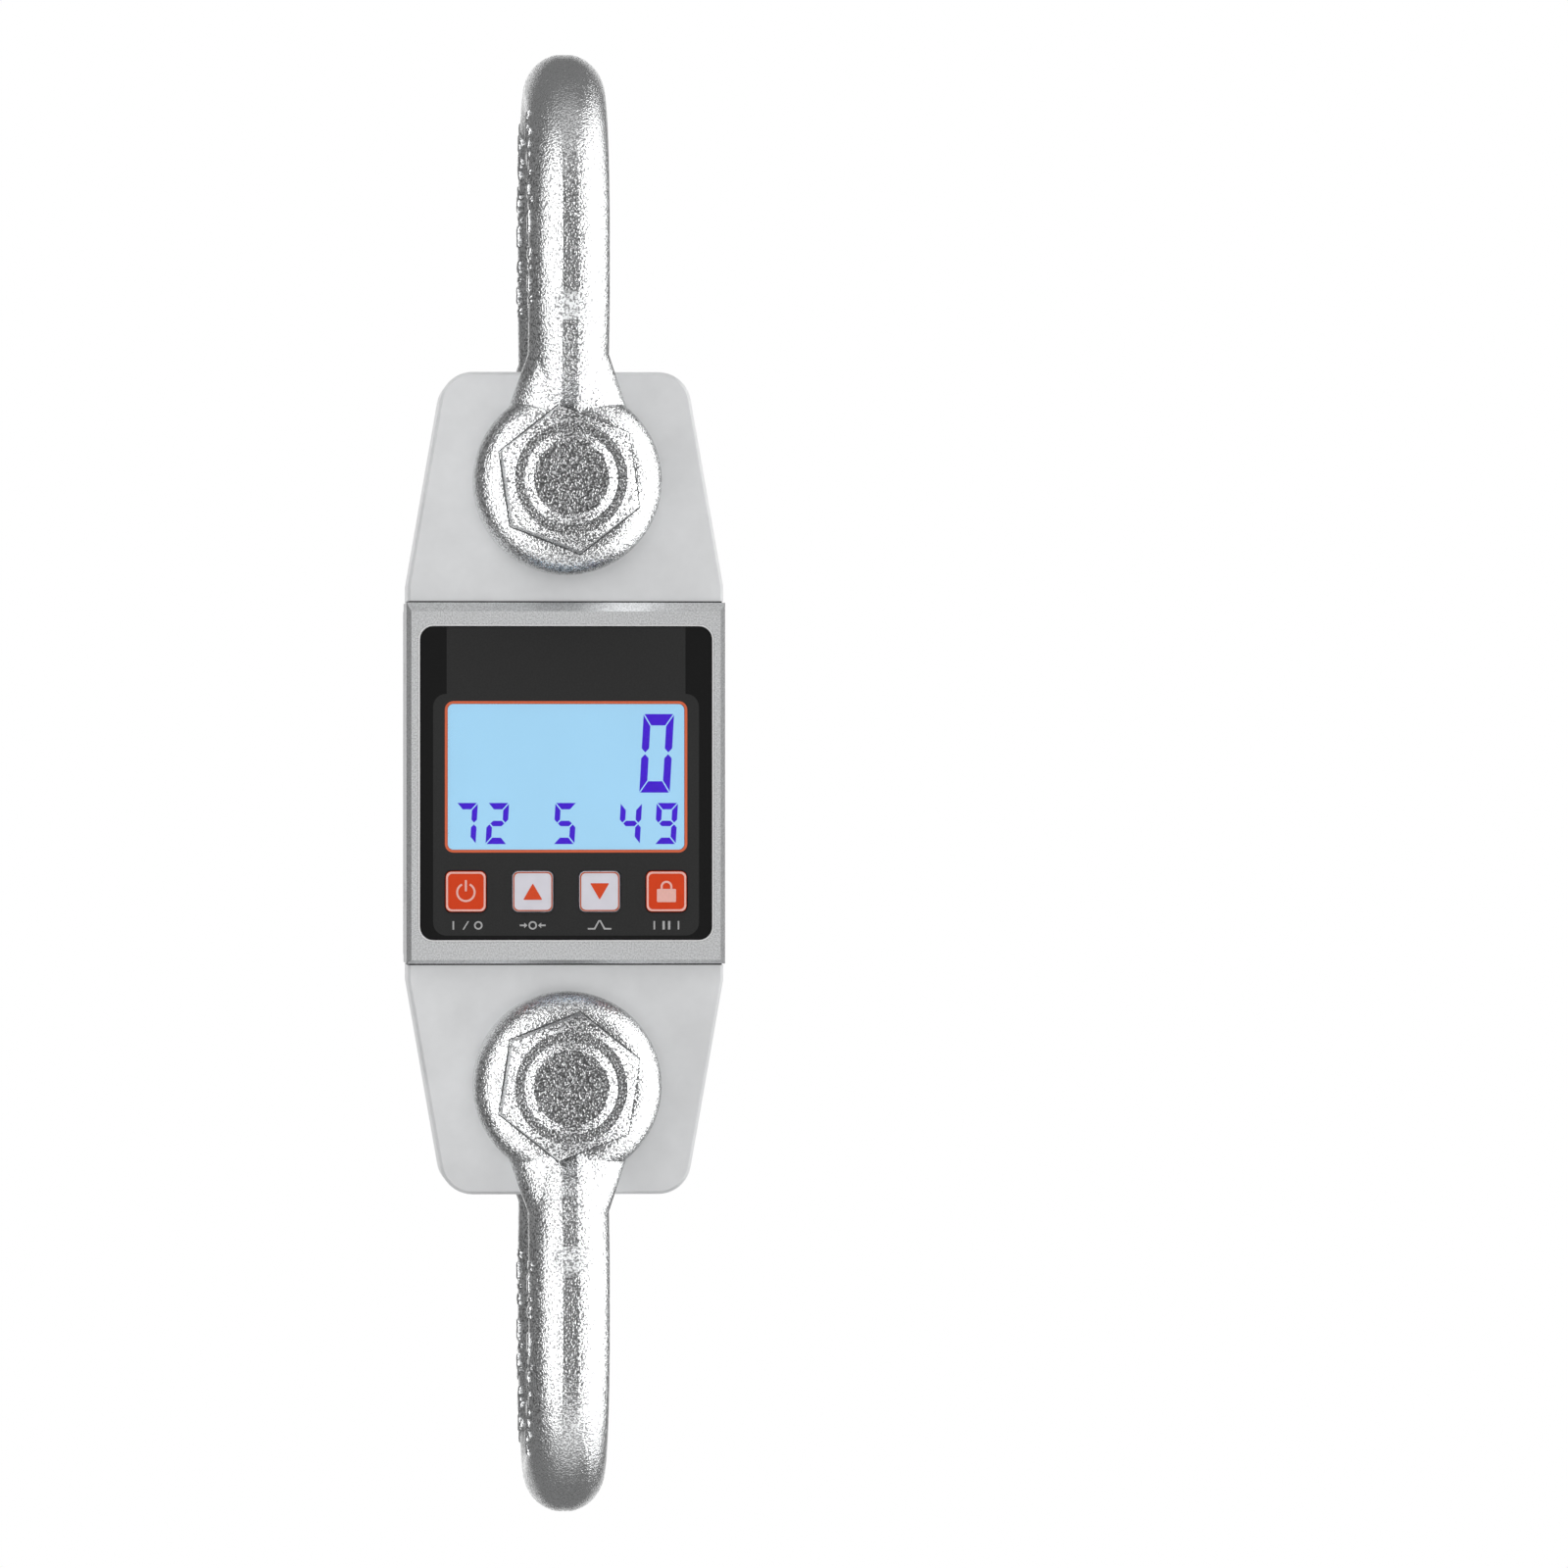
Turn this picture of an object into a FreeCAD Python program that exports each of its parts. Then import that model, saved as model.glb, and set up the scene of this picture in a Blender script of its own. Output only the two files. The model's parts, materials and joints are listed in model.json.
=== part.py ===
import FreeCAD, Part
import math
import os

# A hanging electronic scale: a strain-gauge load cell in the shape of a flat plate, with the
# read-out in a housing round its waist, and a bow shackle bolted through each end.
# Millimetres. The model is drawn about the centre of the plate: X is to the right, Y is from
# the front (display side) to the back, Z is up. When saved it is moved so that the origin is
# the seat of the hook, at the inside of the upper bow's crown.

# Load cell plate
shoulder_reveal = 0.4  # the plate is this much narrower than the housing on each side
plate_end_margin = 30.0  # past each pin's axis
plate_thickness = 32.0
end_taper = 10.15  # how far each side leans in, measured before the corners are rounded
shoulder_straight = 4.25  # of the sides before they begin to lean in
end_corner_radius = 9.0
taper_corner_radius = 3.0
plate_edge_break = 0.8
web_thickness = 8.0  # the sprung middle that carries the gauges
lead_hole_diameter = 3.0
supply_hole_diameter = 8.0
lead_hole_inset = 10.65  # from the housing's top wall

# Housing round the waist of the plate
housing_width = 86.8
housing_height = 98.3
housing_proud = 4.0  # how far it stands in front of and behind the plate
housing_wall = 2.5
front_wall = 3.0
back_wall = 3.0
housing_corner_radius = 2.5  # rear cover's corners, seen from behind
housing_chamfer = 2.0  # round the rear cover's back
inner_corner_radius = 1.0
bevel_depth = 2.0  # the front frame slopes back over this depth
bevel_top = 2.4
bevel_side = 1.3
bevel_bottom = 1.0
shoulder_gap = 0.4  # the dark line between the housing and the plate's shoulders
side_gap = 0.25  # between the web and the housing's side walls
gasket_thickness = 0.8
gasket_inset = 0.1
cover_join = 14.0  # middle of the side joint between the housing and the rear cover
rim_chamfer = 0.5

# Front panel, display and keys
panel_side_margin = 3.75
panel_end_margin = 6.55
panel_corner_radius = 3.5
panel_thickness = 1.2
panel_recess = 0.3
panel_gap = 0.1
panel_ledge = 3.0
window_width = 64.3
window_height = 39.5
window_corner_radius = 1.5
window_rise = 1.7  # centre of the display above the centre of the plate
window_gap = 0.05
display_border = 3.0  # how far the display reaches past the window on each side
display_corner_radius = 0.5
display_gap = 0.1
glass_thickness = 2.3
backlight_thickness = 3.0
key_names = ["key_power", "key_up", "key_down", "key_lock"]
key_size = 11.0
key_corner_radius = 1.6
key_pitch = 18.2
key_space = 5.95  # between the window and the keys
key_proud = 0.5
key_travel = 0.5
key_gap = 0.25
key_edge_radius = 0.3
key_flange_lip = 0.8
key_flange_thickness = 0.8
key_stem_diameter = 4.0
key_stem_reach = 1.0  # of the stem inside its switch, with the key at rest
switch_size = 6.5
switch_height = 3.2
switch_corner_radius = 0.6

# Circuit board
board_thickness = 1.6
board_gap = 1.4  # between the board's edge and the housing
board_boss_diameter = 5.0
board_boss_inset = 3.5  # from the board's edge sideways, and from the housing's inner walls upright
board_corner_radius = 2.0
chip_height = 1.4
chip_corner_radius = 0.4
# Place of each chip as shares of the board's half width and half height, then its own size
chips = [
    (-0.40, 0.27, 12.0, 12.0),
    (0.35, 0.31, 9.0, 7.0),
    (0.45, -0.18, 6.0, 5.0),
    (-0.50, -0.22, 10.0, 4.0),
    (-0.05, -0.49, 8.0, 8.0),
    (0.50, -0.57, 7.0, 7.0),
]
capacitor_shares = (-0.65, -0.55, 0.65)  # places across the board's half width
capacitor_share_z = -0.71
lead_socket_width = 12.0
lead_socket_height = 5.0
lead_socket_drop = 8.0  # from the lead holes down to the socket that takes the leads

# Strain gauges and wires
gauge_width = 8.0
gauge_height = 12.0
gauge_thickness = 0.3
gauge_corner_radius = 0.5
gauge_offset = 12.0
gauge_tab = 1.0  # from a gauge's end to where its lead starts
front_lead_drop = 12.0  # how far below the lead holes the front leads turn to the board
lead_diameter = 0.7
lead_bend = 1.6
supply_wire_diameter = 1.4
supply_wire_bend = 4.0

# Batteries and their compartment
cell_count = 4
cell_diameter = 10.5
cell_length = 43.7
cell_pitch = 11.3
cell_gap = 0.1
terminal_diameter = 3.8
terminal_length = 0.8
tray_wall = 2.0
tray_floor = 1.0
tray_foot = 1.0
tray_foot_diameter = 4.0
tray_foot_inset = 3.0
tray_corner_radius = 1.5
cell_edge_radius = 0.5
contact_width = 7.6
spring_diameter = 3.2
contact_thickness = 0.5
contact_spring = 0.6
door_gap = 0.2
door_side_ledge = 3.8
door_end_ledge = 6.5
door_thickness = 1.6
door_corner_radius = 3.0
door_gasket_thickness = 0.6
door_sink = 0.1
door_frame_width = 1.0  # ledge round the inside of the cover's opening
door_frame_height = 1.2
door_gasket_inset = 0.5
door_boss_wall = 1.5
grip_width = 18.0
grip_height = 5.0
grip_depth = 0.6
grip_corner_radius = 2.4
tray_gap = 1.2  # round the tray, in the compartment's mouth

# Small screws: diameter of the thread, of the head, and the head's height
screw_sizes = {"large": (3.0, 5.6, 1.6), "small": (2.5, 4.5, 1.7)}
screw_hole_gap = 0.2
socket_share = 0.7  # width of a screw's hexagon socket over its thread
socket_depth_share = 0.6  # depth of the socket over the head's height
screw_sink = 0.15  # countersunk heads end this far below the surface
side_screw_height = 30.0
side_screw_depth = 7.0
cover_screw_depth = 6.0
cover_post_diameter = 7.0
cover_post_inset = 5.3  # from the housing's side walls to the post's axis
cover_post_end_inset = 3.6  # from the housing's top and bottom walls to the post's axis
door_screw_length = 6.5

# Shackles
pin_diameter = 25.0
pin_gap = 0.25  # running clearance on the radius
bore_chamfer = 1.0
jaw_gap = 2.0  # between the plate and each ear
ear_wall = 13.0  # round the pin; the eye is as thick as the bow's stock
ear_clearance = 7.35  # between the housing and each ear, up the plate
ear_edge_radius = 9.0
ear_inner_edge_radius = 2.0
bow_stock = 22.0
bow_bulge = 11.0  # how far each leg steps outward above its ear
bow_inside_length = 95.5  # from the pin's centre to the inside of the crown
flash_width = 4.2  # the flat left where the forging was trimmed
leg_bend_low = 20.0  # heights above the pin at which the leg's two bends lie
leg_bend_high = 46.0
leg_bend_radius = 26.0
neck_top = 34.0  # height at which the ear has narrowed to the leg
neck_shares = (0.2, 0.6, 1.0)  # heights of the neck's sections, as shares of neck_top
neck_curve = 1.2  # how hollow the neck's sides are; 1 is straight
neck_inset = 0.1  # keeps the neck just inside the faces of the ear

# Shackle bolt, nut and split pin
head_flats = 35.2
head_height = 13.5
head_draft = 0.5  # how far each side leans in, from the back of the forged head to its front
head_turns = {"upper": 38.5, "lower": 21.5}  # degrees from +X to a corner of each hexagon
head_ring_diameter = 30.4  # where the hexagon's front begins to slope back to its corners
hexagon_slope = 60.0  # degrees between that slope and the axis
bearing_ring_diameter = 33.0  # the flat ring on which the head and the nut bear
nut_turn = 30.0
head_boss_height = 2.6
head_boss_chamfer = 2.3  # width of the ring that slopes round the boss
head_boss_slope = 1.3  # depth over which that ring slopes back
end_play = 0.3
nut_height = 20.0
bolt_tail = 10.5  # past the nut
bolt_tail_chamfer = 2.0
split_wire = 2.4
split_hole_gap = 0.25
split_hole_offset = 3.4  # beyond the nut
split_leg_gap = 0.1
split_eye = 8.0
split_eye_start = 1.5  # past the bolt's side
split_eye_bend = 3.2
split_leg_bend = 2.0
split_leg_start = 2.0  # past the bolt's other side, where the legs bend apart
split_leg_run = 3.0
split_leg_spread = 16.0

ear_thickness = bow_stock
ear_diameter = pin_diameter + 2 * ear_wall
pin_spacing = housing_height + ear_diameter + 2 * ear_clearance
split_hole_diameter = 2 * (split_wire + split_hole_gap) + split_leg_gap
plate_width = housing_width - 2 * shoulder_reveal
plate_height = pin_spacing + 2 * plate_end_margin
plate_end_width = plate_width - 2 * end_taper
taper_start = housing_height / 2 + shoulder_gap + shoulder_straight
plate_front = -plate_thickness / 2
plate_back = plate_thickness / 2
web_front = -web_thickness / 2
web_back = web_thickness / 2
housing_front = plate_front - housing_proud
housing_back = plate_back + housing_proud
inside_width = housing_width - 2 * housing_wall
inside_height = housing_height - 2 * housing_wall
inside_front = housing_front + front_wall
inside_back = housing_back - back_wall
web_width = inside_width - 2 * side_gap
lead_hole_height = inside_height / 2 - lead_hole_inset
pin_height = pin_spacing / 2
jaw = plate_thickness + 2 * jaw_gap
ear_middle = jaw / 2 + ear_thickness / 2
ear_outside = jaw / 2 + ear_thickness
hook_seat_height = pin_height + bow_inside_length

panel_width = housing_width - 2 * panel_side_margin
panel_height = housing_height - 2 * panel_end_margin
key_drop = window_height / 2 - window_rise + key_space + key_size / 2
panel_front = housing_front + panel_recess
panel_back = panel_front + panel_thickness
glass_front = panel_back + display_gap
backlight_front = glass_front + glass_thickness
board_front = backlight_front + backlight_thickness
board_back = board_front + board_thickness
board_width = inside_width - 2 * board_gap
board_height = inside_height - 2 * board_gap
board_boss_x = inside_width / 2 - board_boss_inset - board_gap
board_boss_z = inside_height / 2 - board_boss_inset
cheek_end = cover_join - gasket_thickness / 2
cover_side_start = cover_join + gasket_thickness / 2
cover_post_x = inside_width / 2 - cover_post_inset
cover_post_z = inside_height / 2 - cover_post_end_inset

tray_width = (cell_count - 1) * cell_pitch + cell_diameter + 2 * tray_wall
cell_space = cell_length + terminal_length + 2 * contact_thickness + contact_spring
tray_height = cell_space + 2 * tray_wall
tray_floor_start = web_back + tray_foot
cell_axis = tray_floor_start + tray_floor + cell_gap + cell_diameter / 2
mouth_width = tray_width + 2 * tray_gap
mouth_height = tray_height + 2 * tray_gap
door_width = mouth_width + 2 * door_side_ledge
door_height = mouth_height + 2 * door_end_ledge
door_back = housing_back - door_sink
door_front = door_back - door_thickness
door_gasket_front = door_front - door_gasket_thickness
door_frame_front = inside_back - door_frame_height
door_screw_z = mouth_height / 2 + door_end_ledge / 2


def vector(x, y, z):
    return FreeCAD.Vector(x, y, z)


def box(x_low, x_high, y_low, y_high, z_low, z_high):
    size = (x_high - x_low, y_high - y_low, z_high - z_low)
    return Part.makeBox(*size, vector(x_low, y_low, z_low))


def rod(radius, start, direction, length):
    return Part.makeCylinder(radius, length, start, direction)


def rod_y(radius, y_low, y_high, x=0.0, z=0.0):
    return rod(radius, vector(x, y_low, z), vector(0, 1, 0), y_high - y_low)


def rounded_wire(points, radii, closed):
    """Straight runs through the points, with a tangent arc of the given radius at each corner."""
    corners = range(len(points)) if closed else range(1, len(points) - 1)
    starts = {}
    ends = {}
    arcs = {}
    for i in corners:
        point = points[i]
        back = (points[i - 1] - point).normalize()
        ahead = (points[(i + 1) % len(points)] - point).normalize()
        half = back.getAngle(ahead) / 2
        reach = radii[i] / math.tan(half)
        starts[i] = point + back * reach
        ends[i] = point + ahead * reach
        middle = (back + ahead).normalize() * (radii[i] / math.sin(half) - radii[i])
        arcs[i] = Part.Arc(starts[i], point + middle, ends[i]).toShape()
    edges = []
    runs = len(points) if closed else len(points) - 1
    for i in range(runs):
        following = (i + 1) % len(points)
        if i in arcs:
            edges.append(arcs[i])
        run_start = ends.get(i, points[i])
        run_end = starts.get(following, points[following])
        if run_start.distanceToPoint(run_end) > 1e-6:
            edges.append(Part.LineSegment(run_start, run_end).toShape())
    return Part.Wire(edges)


def prism(points, radii, y_low, y_high):
    """An outline of (x, z) corners, each rounded by its radius, drawn out along Y."""
    corners = [vector(x, y_low, z) for x, z in points]
    face = Part.Face(rounded_wire(corners, radii, True))
    return face.extrude(vector(0, y_high - y_low, 0))


def rounded_slab(width, height, radius, y_low, y_high, x=0.0, z=0.0):
    half_w = width / 2
    half_h = height / 2
    signs = [(-1, -1), (1, -1), (1, 1), (-1, 1)]
    corners = [(x + i * half_w, z + j * half_h) for i, j in signs]
    return prism(corners, [radius] * 4, y_low, y_high)


def edges_at_y(shape, y, half_width=1000.0):
    """Edges that lie in the plane at y, no further than half_width from the middle."""
    found = []
    for edge in shape.Edges:
        bounds = edge.BoundBox
        in_plane = abs(bounds.YMin - y) < 1e-4 and abs(bounds.YMax - y) < 1e-4
        if in_plane and max(abs(bounds.XMin), abs(bounds.XMax)) < half_width:
            found.append(edge)
    return found


def both_ways(first, second):
    return [(i * first, j * second) for i in (-1, 1) for j in (-1, 1)]


def tube(wire, diameter):
    """A round wire swept along a path that starts at the path's first point."""
    start = wire.OrderedVertexes[0].Point
    first = wire.OrderedEdges[0]
    direction = first.tangentAt(first.FirstParameter)
    if first.valueAt(first.FirstParameter).distanceToPoint(start) > 1e-6:
        direction = first.tangentAt(first.LastParameter) * -1
    circle = Part.Circle(start, direction, diameter / 2).toShape()
    return wire.makePipeShell([Part.Wire([circle])], True, False)


def hexagon_wire(flats, y, turn):
    radius = flats / math.sqrt(3)
    angles = [math.radians(turn + 60 * i) for i in range(6)]
    points = [vector(radius * math.cos(a), y, radius * math.sin(a)) for a in angles]
    return Part.makePolygon(points + [points[0]])


def hexagon(flats, y_low, y_high, turn):
    """A hexagonal prism along the Y axis."""
    face = Part.Face(hexagon_wire(flats, y_low, turn))
    return face.extrude(vector(0, y_high - y_low, 0))


def screw(size, surface, inward, length, sunk):
    """A small screw that goes inward from the surface point, with a hexagon socket in its head."""
    thread, head, head_depth = screw_sizes[size]
    if sunk:
        top = surface + inward * screw_sink
        crown = Part.makeCone(head / 2, thread / 2, head_depth, top, inward)
    else:
        top = surface - inward * head_depth
        crown = rod(head / 2, top, inward, head_depth)
    shank = rod(thread / 2, top, inward, length + (surface - top).dot(inward))
    socket = hexagon(thread * socket_share, 0, head_depth * socket_depth_share, 0)
    socket.Placement = FreeCAD.Placement(top, FreeCAD.Rotation(vector(0, 1, 0), inward))
    return crown.fuse(shank).cut(socket)


def screw_room(size, surface, inward, length):
    """The hole for a countersunk screw: a cone for its head and a clear hole for its thread."""
    thread, head, head_depth = screw_sizes[size]
    wide = head / 2 + screw_hole_gap
    narrow = thread / 2 + screw_hole_gap
    top = surface + inward * screw_sink
    mouth = rod(wide, surface - inward, inward, 1 + screw_sink)
    cone = Part.makeCone(wide, narrow, head_depth, top, inward)
    return mouth.fuse([cone, rod(narrow, surface, inward, length)])


def load_cell_body():
    side = plate_width / 2
    end = plate_end_width / 2
    top = plate_height / 2
    outline = [(side, -taper_start), (side, taper_start), (end, top), (-end, top)]
    outline += [(-side, taper_start), (-side, -taper_start), (-end, -top), (end, -top)]
    rounds = [taper_corner_radius] * 2 + [end_corner_radius] * 2
    body = prism(outline, rounds * 2, plate_front, plate_back)
    rim = edges_at_y(body, plate_front) + edges_at_y(body, plate_back)
    body = body.makeChamfer(plate_edge_break, rim)
    shoulder = housing_height / 2 + shoulder_gap
    waste = []
    for sign in (-1, 1):
        near, far = sorted((sign * web_thickness / 2, sign * plate_thickness))
        waste.append(box(-side - 1, side + 1, near, far, -shoulder, shoulder))
        near, far = sorted((sign * web_width / 2, sign * plate_width))
        waste.append(box(near, far, -plate_thickness, plate_thickness, -shoulder, shoulder))
        bore = pin_diameter / 2 + pin_gap
        waste.append(rod_y(bore, plate_front, plate_back, 0, sign * pin_height))
        for face, inward in ((plate_front, 1), (plate_back, -1)):
            mouth = vector(0, face, sign * pin_height)
            cone = (bore + bore_chamfer, bore, bore_chamfer)
            waste.append(Part.makeCone(*cone, mouth, vector(0, inward, 0)))
    waste.append(rod_y(supply_hole_diameter / 2, web_front, web_back, 0, lead_hole_height))
    for sign in (-1, 1):
        lead_x = sign * gauge_offset
        waste.append(rod_y(lead_hole_diameter / 2, web_front, web_back, lead_x, lead_hole_height))
    thread = screw_sizes["large"][0] / 2
    for sign, z in both_ways(1, side_screw_height):
        start = vector(sign * (web_width / 2 + 1), 0, z)
        waste.append(rod(thread, start, vector(-sign, 0, 0), side_screw_depth + 1))
    for x, z in both_ways(cover_post_x, cover_post_z):
        waste.append(rod_y(thread, web_back - cover_screw_depth, web_back, x, z))
    return body.cut(waste)


def rectangle(x_low, x_high, y, z_low, z_high):
    corners = [(x_low, z_low), (x_high, z_low), (x_high, z_high), (x_low, z_high)]
    points = [vector(x, y, z) for x, z in corners]
    return Part.makePolygon(points + [points[0]])


def front_frame():
    """The block that the front housing is cut from; its front edges slope back all round."""
    half_w = housing_width / 2
    half_h = housing_height / 2
    slope_end = housing_front + bevel_depth
    block = box(-half_w, half_w, slope_end, cheek_end, -half_h, half_h)
    outer = rectangle(-half_w, half_w, slope_end, -half_h, half_h)
    side = half_w - bevel_side
    inner = rectangle(-side, side, housing_front, bevel_bottom - half_h, half_h - bevel_top)
    return block.fuse(Part.makeLoft([outer, inner], True, True)).removeSplitter()


def front_housing():
    shell = front_frame()
    hollow = rounded_slab(
        inside_width, inside_height, inner_corner_radius, inside_front, cheek_end
    )
    half_w = inside_width / 2
    web_room_start = web_front - gasket_thickness
    web_room = box(-half_w, half_w, web_room_start, cheek_end, -housing_height, housing_height)
    rebate = rounded_slab(
        panel_width + 2 * panel_gap,
        panel_height + 2 * panel_gap,
        panel_corner_radius + panel_gap,
        housing_front,
        panel_back,
    )
    opening = rounded_slab(
        panel_width - 2 * panel_ledge,
        panel_height - 2 * panel_ledge,
        panel_corner_radius,
        panel_back,
        inside_front,
    )
    shell = shell.cut([hollow, web_room, rebate, opening])
    rim = edges_at_y(shell, housing_front, panel_width / 2 + 2 * panel_gap)
    shell = shell.makeChamfer(rim_chamfer, rim)
    bosses = []
    holes = []
    thread = screw_sizes["small"][0] / 2
    for x, z in both_ways(board_boss_x, board_boss_z):
        bosses.append(rod_y(board_boss_diameter / 2, inside_front, board_front, x, z))
        holes.append(rod_y(thread, inside_front, board_front, x, z))
    for sign, z in both_ways(1, side_screw_height):
        surface = vector(sign * housing_width / 2, 0, z)
        holes.append(screw_room("large", surface, vector(-sign, 0, 0), housing_wall))
    return shell.fuse(bosses).cut(holes)


def rear_cover():
    wall_start = web_back + gasket_thickness
    shell = rounded_slab(
        housing_width, housing_height, housing_corner_radius, wall_start, housing_back
    )
    shell = shell.makeChamfer(housing_chamfer, edges_at_y(shell, housing_back))
    waste = [
        rounded_slab(inside_width, inside_height, inner_corner_radius, wall_start, inside_back)
    ]
    for sign in (-1, 1):
        near, far = sorted((sign * (inside_width / 2 - side_gap), sign * housing_width))
        waste.append(box(near, far, wall_start, cover_side_start, -housing_height, housing_height))
    shell = shell.cut(waste)
    frame = rounded_slab(
        door_width + 2 * door_frame_width,
        door_height + 2 * door_frame_width,
        door_corner_radius,
        door_frame_front,
        inside_back,
    )
    boss_front = door_back - door_screw_length
    added = [frame]
    holes = [
        rounded_slab(
            mouth_width, mouth_height, tray_corner_radius, door_frame_front, housing_back
        ),
        rounded_slab(
            door_width + 2 * door_gap,
            door_height + 2 * door_gap,
            door_corner_radius + door_gap,
            door_gasket_front,
            housing_back,
        ),
    ]
    large = screw_sizes["large"][0] / 2
    small = screw_sizes["small"][0] / 2
    for x, z in both_ways(cover_post_x, cover_post_z):
        added.append(rod_y(cover_post_diameter / 2, web_back, inside_back, x, z))
        surface = vector(x, housing_back, z)
        holes.append(screw_room("large", surface, vector(0, -1, 0), housing_back - web_back))
    for sign in (-1, 1):
        z = sign * door_screw_z
        added.append(rod_y(small + door_boss_wall, boss_front, inside_back, 0, z))
        holes.append(rod_y(small, boss_front, housing_back, 0, z))
    return shell.fuse(added).cut(holes)


def gasket_strip(x_low, x_high, y, z_low, z_high):
    return box(x_low, x_high, y, y + gasket_thickness, z_low, z_high)


def end_strips(y):
    """The strips under the top and bottom walls of one half of the housing."""
    half = inside_width / 2 - side_gap - gasket_inset
    low = inside_height / 2 + gasket_inset
    high = housing_height / 2 - gasket_inset
    return [gasket_strip(-half, half, y, low, high), gasket_strip(-half, half, y, -high, -low)]


def rear_gasket():
    low = inside_width / 2 + gasket_inset
    high = housing_width / 2 - gasket_inset
    end = housing_height / 2 - housing_corner_radius
    sides = [gasket_strip(low, high, cheek_end, -end, end)]
    sides.append(gasket_strip(-high, -low, cheek_end, -end, end))
    return Part.makeCompound(end_strips(web_back) + sides)


def key_places():
    middle = (len(key_names) - 1) / 2
    return [(name, (i - middle) * key_pitch) for i, name in enumerate(key_names)]


def overlay_panel():
    panel = rounded_slab(
        panel_width, panel_height, panel_corner_radius, panel_front, panel_back
    )
    holes = [
        rounded_slab(
            window_width + 2 * window_gap,
            window_height + 2 * window_gap,
            window_corner_radius + window_gap,
            panel_front,
            panel_back,
            z=window_rise,
        )
    ]
    room = key_size + 2 * key_gap
    for _, x in key_places():
        corner = key_corner_radius + key_gap
        holes.append(rounded_slab(room, room, corner, panel_front, panel_back, x, -key_drop))
    return panel.cut(holes)


def display_slab(width, height, radius, y_low, y_high):
    return rounded_slab(width, height, radius, y_low, y_high, z=window_rise)


def key(x):
    front = panel_front - key_proud
    flange_front = panel_back + key_gap
    flange_back = flange_front + key_flange_thickness
    stem_end = board_front - switch_height + key_stem_reach
    cap = rounded_slab(key_size, key_size, key_corner_radius, front, flange_front, x, -key_drop)
    cap = cap.makeFillet(key_edge_radius, edges_at_y(cap, front))
    wide = key_size + 2 * key_flange_lip
    corner = key_corner_radius + key_flange_lip
    flange = rounded_slab(wide, wide, corner, flange_front, flange_back, x, -key_drop)
    stem = rod_y(key_stem_diameter / 2, flange_back, stem_end, x, -key_drop)
    return cap.fuse([flange, stem])


def key_switches():
    """Push switches on the board; each has a well that the stem of its key moves in."""
    front = board_front - switch_height
    well_end = front + key_stem_reach + key_travel + key_gap
    switches = []
    for _, x in key_places():
        block = rounded_slab(
            switch_size, switch_size, switch_corner_radius, front, board_front, x, -key_drop
        )
        well = rod_y(key_stem_diameter / 2 + key_gap, front, well_end, x, -key_drop)
        switches.append(block.cut(well))
    return Part.makeCompound(switches)


def main_board():
    board = rounded_slab(
        board_width, board_height, board_corner_radius, board_front, board_back
    )
    hole = screw_sizes["small"][0] / 2 + screw_hole_gap
    places = both_ways(board_boss_x, board_boss_z)
    return board.cut([rod_y(hole, board_front, board_back, x, z) for x, z in places])


def board_components():
    """Processor, converter, memory, clock, sockets and capacitors on the board's back."""
    half_w = board_width / 2
    half_h = board_height / 2
    places = [(half_w * x, half_h * z, width, height) for x, z, width, height in chips]
    socket_z = lead_hole_height - lead_socket_drop
    places.append((0, socket_z, lead_socket_width, lead_socket_height))
    top = board_back + chip_height
    pieces = []
    for x, z, width, height in places:
        pieces.append(rounded_slab(width, height, chip_corner_radius, board_back, top, x, z))
    for share in capacitor_shares:
        x, z = half_w * share, half_h * capacitor_share_z
        pieces.append(rod_y(chip_height, board_back, board_back + 2 * chip_height, x, z))
    return Part.makeCompound(pieces)


def strain_gauges():
    """Two gauges on the front of the web and two on its back."""
    gauges = []
    for sign in (-1, 1):
        x = sign * gauge_offset
        for y in (web_front - gauge_thickness, web_back):
            end = y + gauge_thickness
            gauges.append(rounded_slab(gauge_width, gauge_height, gauge_corner_radius, y, end, x))
    return Part.makeCompound(gauges)


def gauge_leads():
    """Two thin wires from the front gauges and two from the back gauges, all to the board."""
    start_z = gauge_height / 2 - gauge_tab
    skin = gauge_thickness + lead_diameter / 2
    front = (web_front - skin, lead_hole_height - front_lead_drop)
    back = (web_back + skin, lead_hole_height)
    leads = []
    for sign in (-1, 1):
        x = sign * gauge_offset
        for y, turn_z in (front, back):
            path = [vector(x, y, start_z), vector(x, y, turn_z), vector(x, board_back, turn_z)]
            leads.append(tube(rounded_wire(path, [lead_bend] * 3, False), lead_diameter))
    return Part.makeCompound(leads)


def supply_wires():
    """Positive and negative wires from the battery tray through the web to the board."""
    y = tray_floor_start + supply_wire_diameter
    wires = []
    for sign in (-1, 1):
        x = sign * supply_wire_diameter
        path = [vector(x, y, tray_height / 2), vector(x, y, lead_hole_height)]
        path.append(vector(x, board_back, lead_hole_height))
        wire = rounded_wire(path, [supply_wire_bend] * 3, False)
        wires.append(tube(wire, supply_wire_diameter))
    return Part.makeCompound(wires)


def cell_places():
    middle = (cell_count - 1) / 2
    return [((i - middle) * cell_pitch, 1 if i % 2 == 0 else -1) for i in range(cell_count)]


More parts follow.
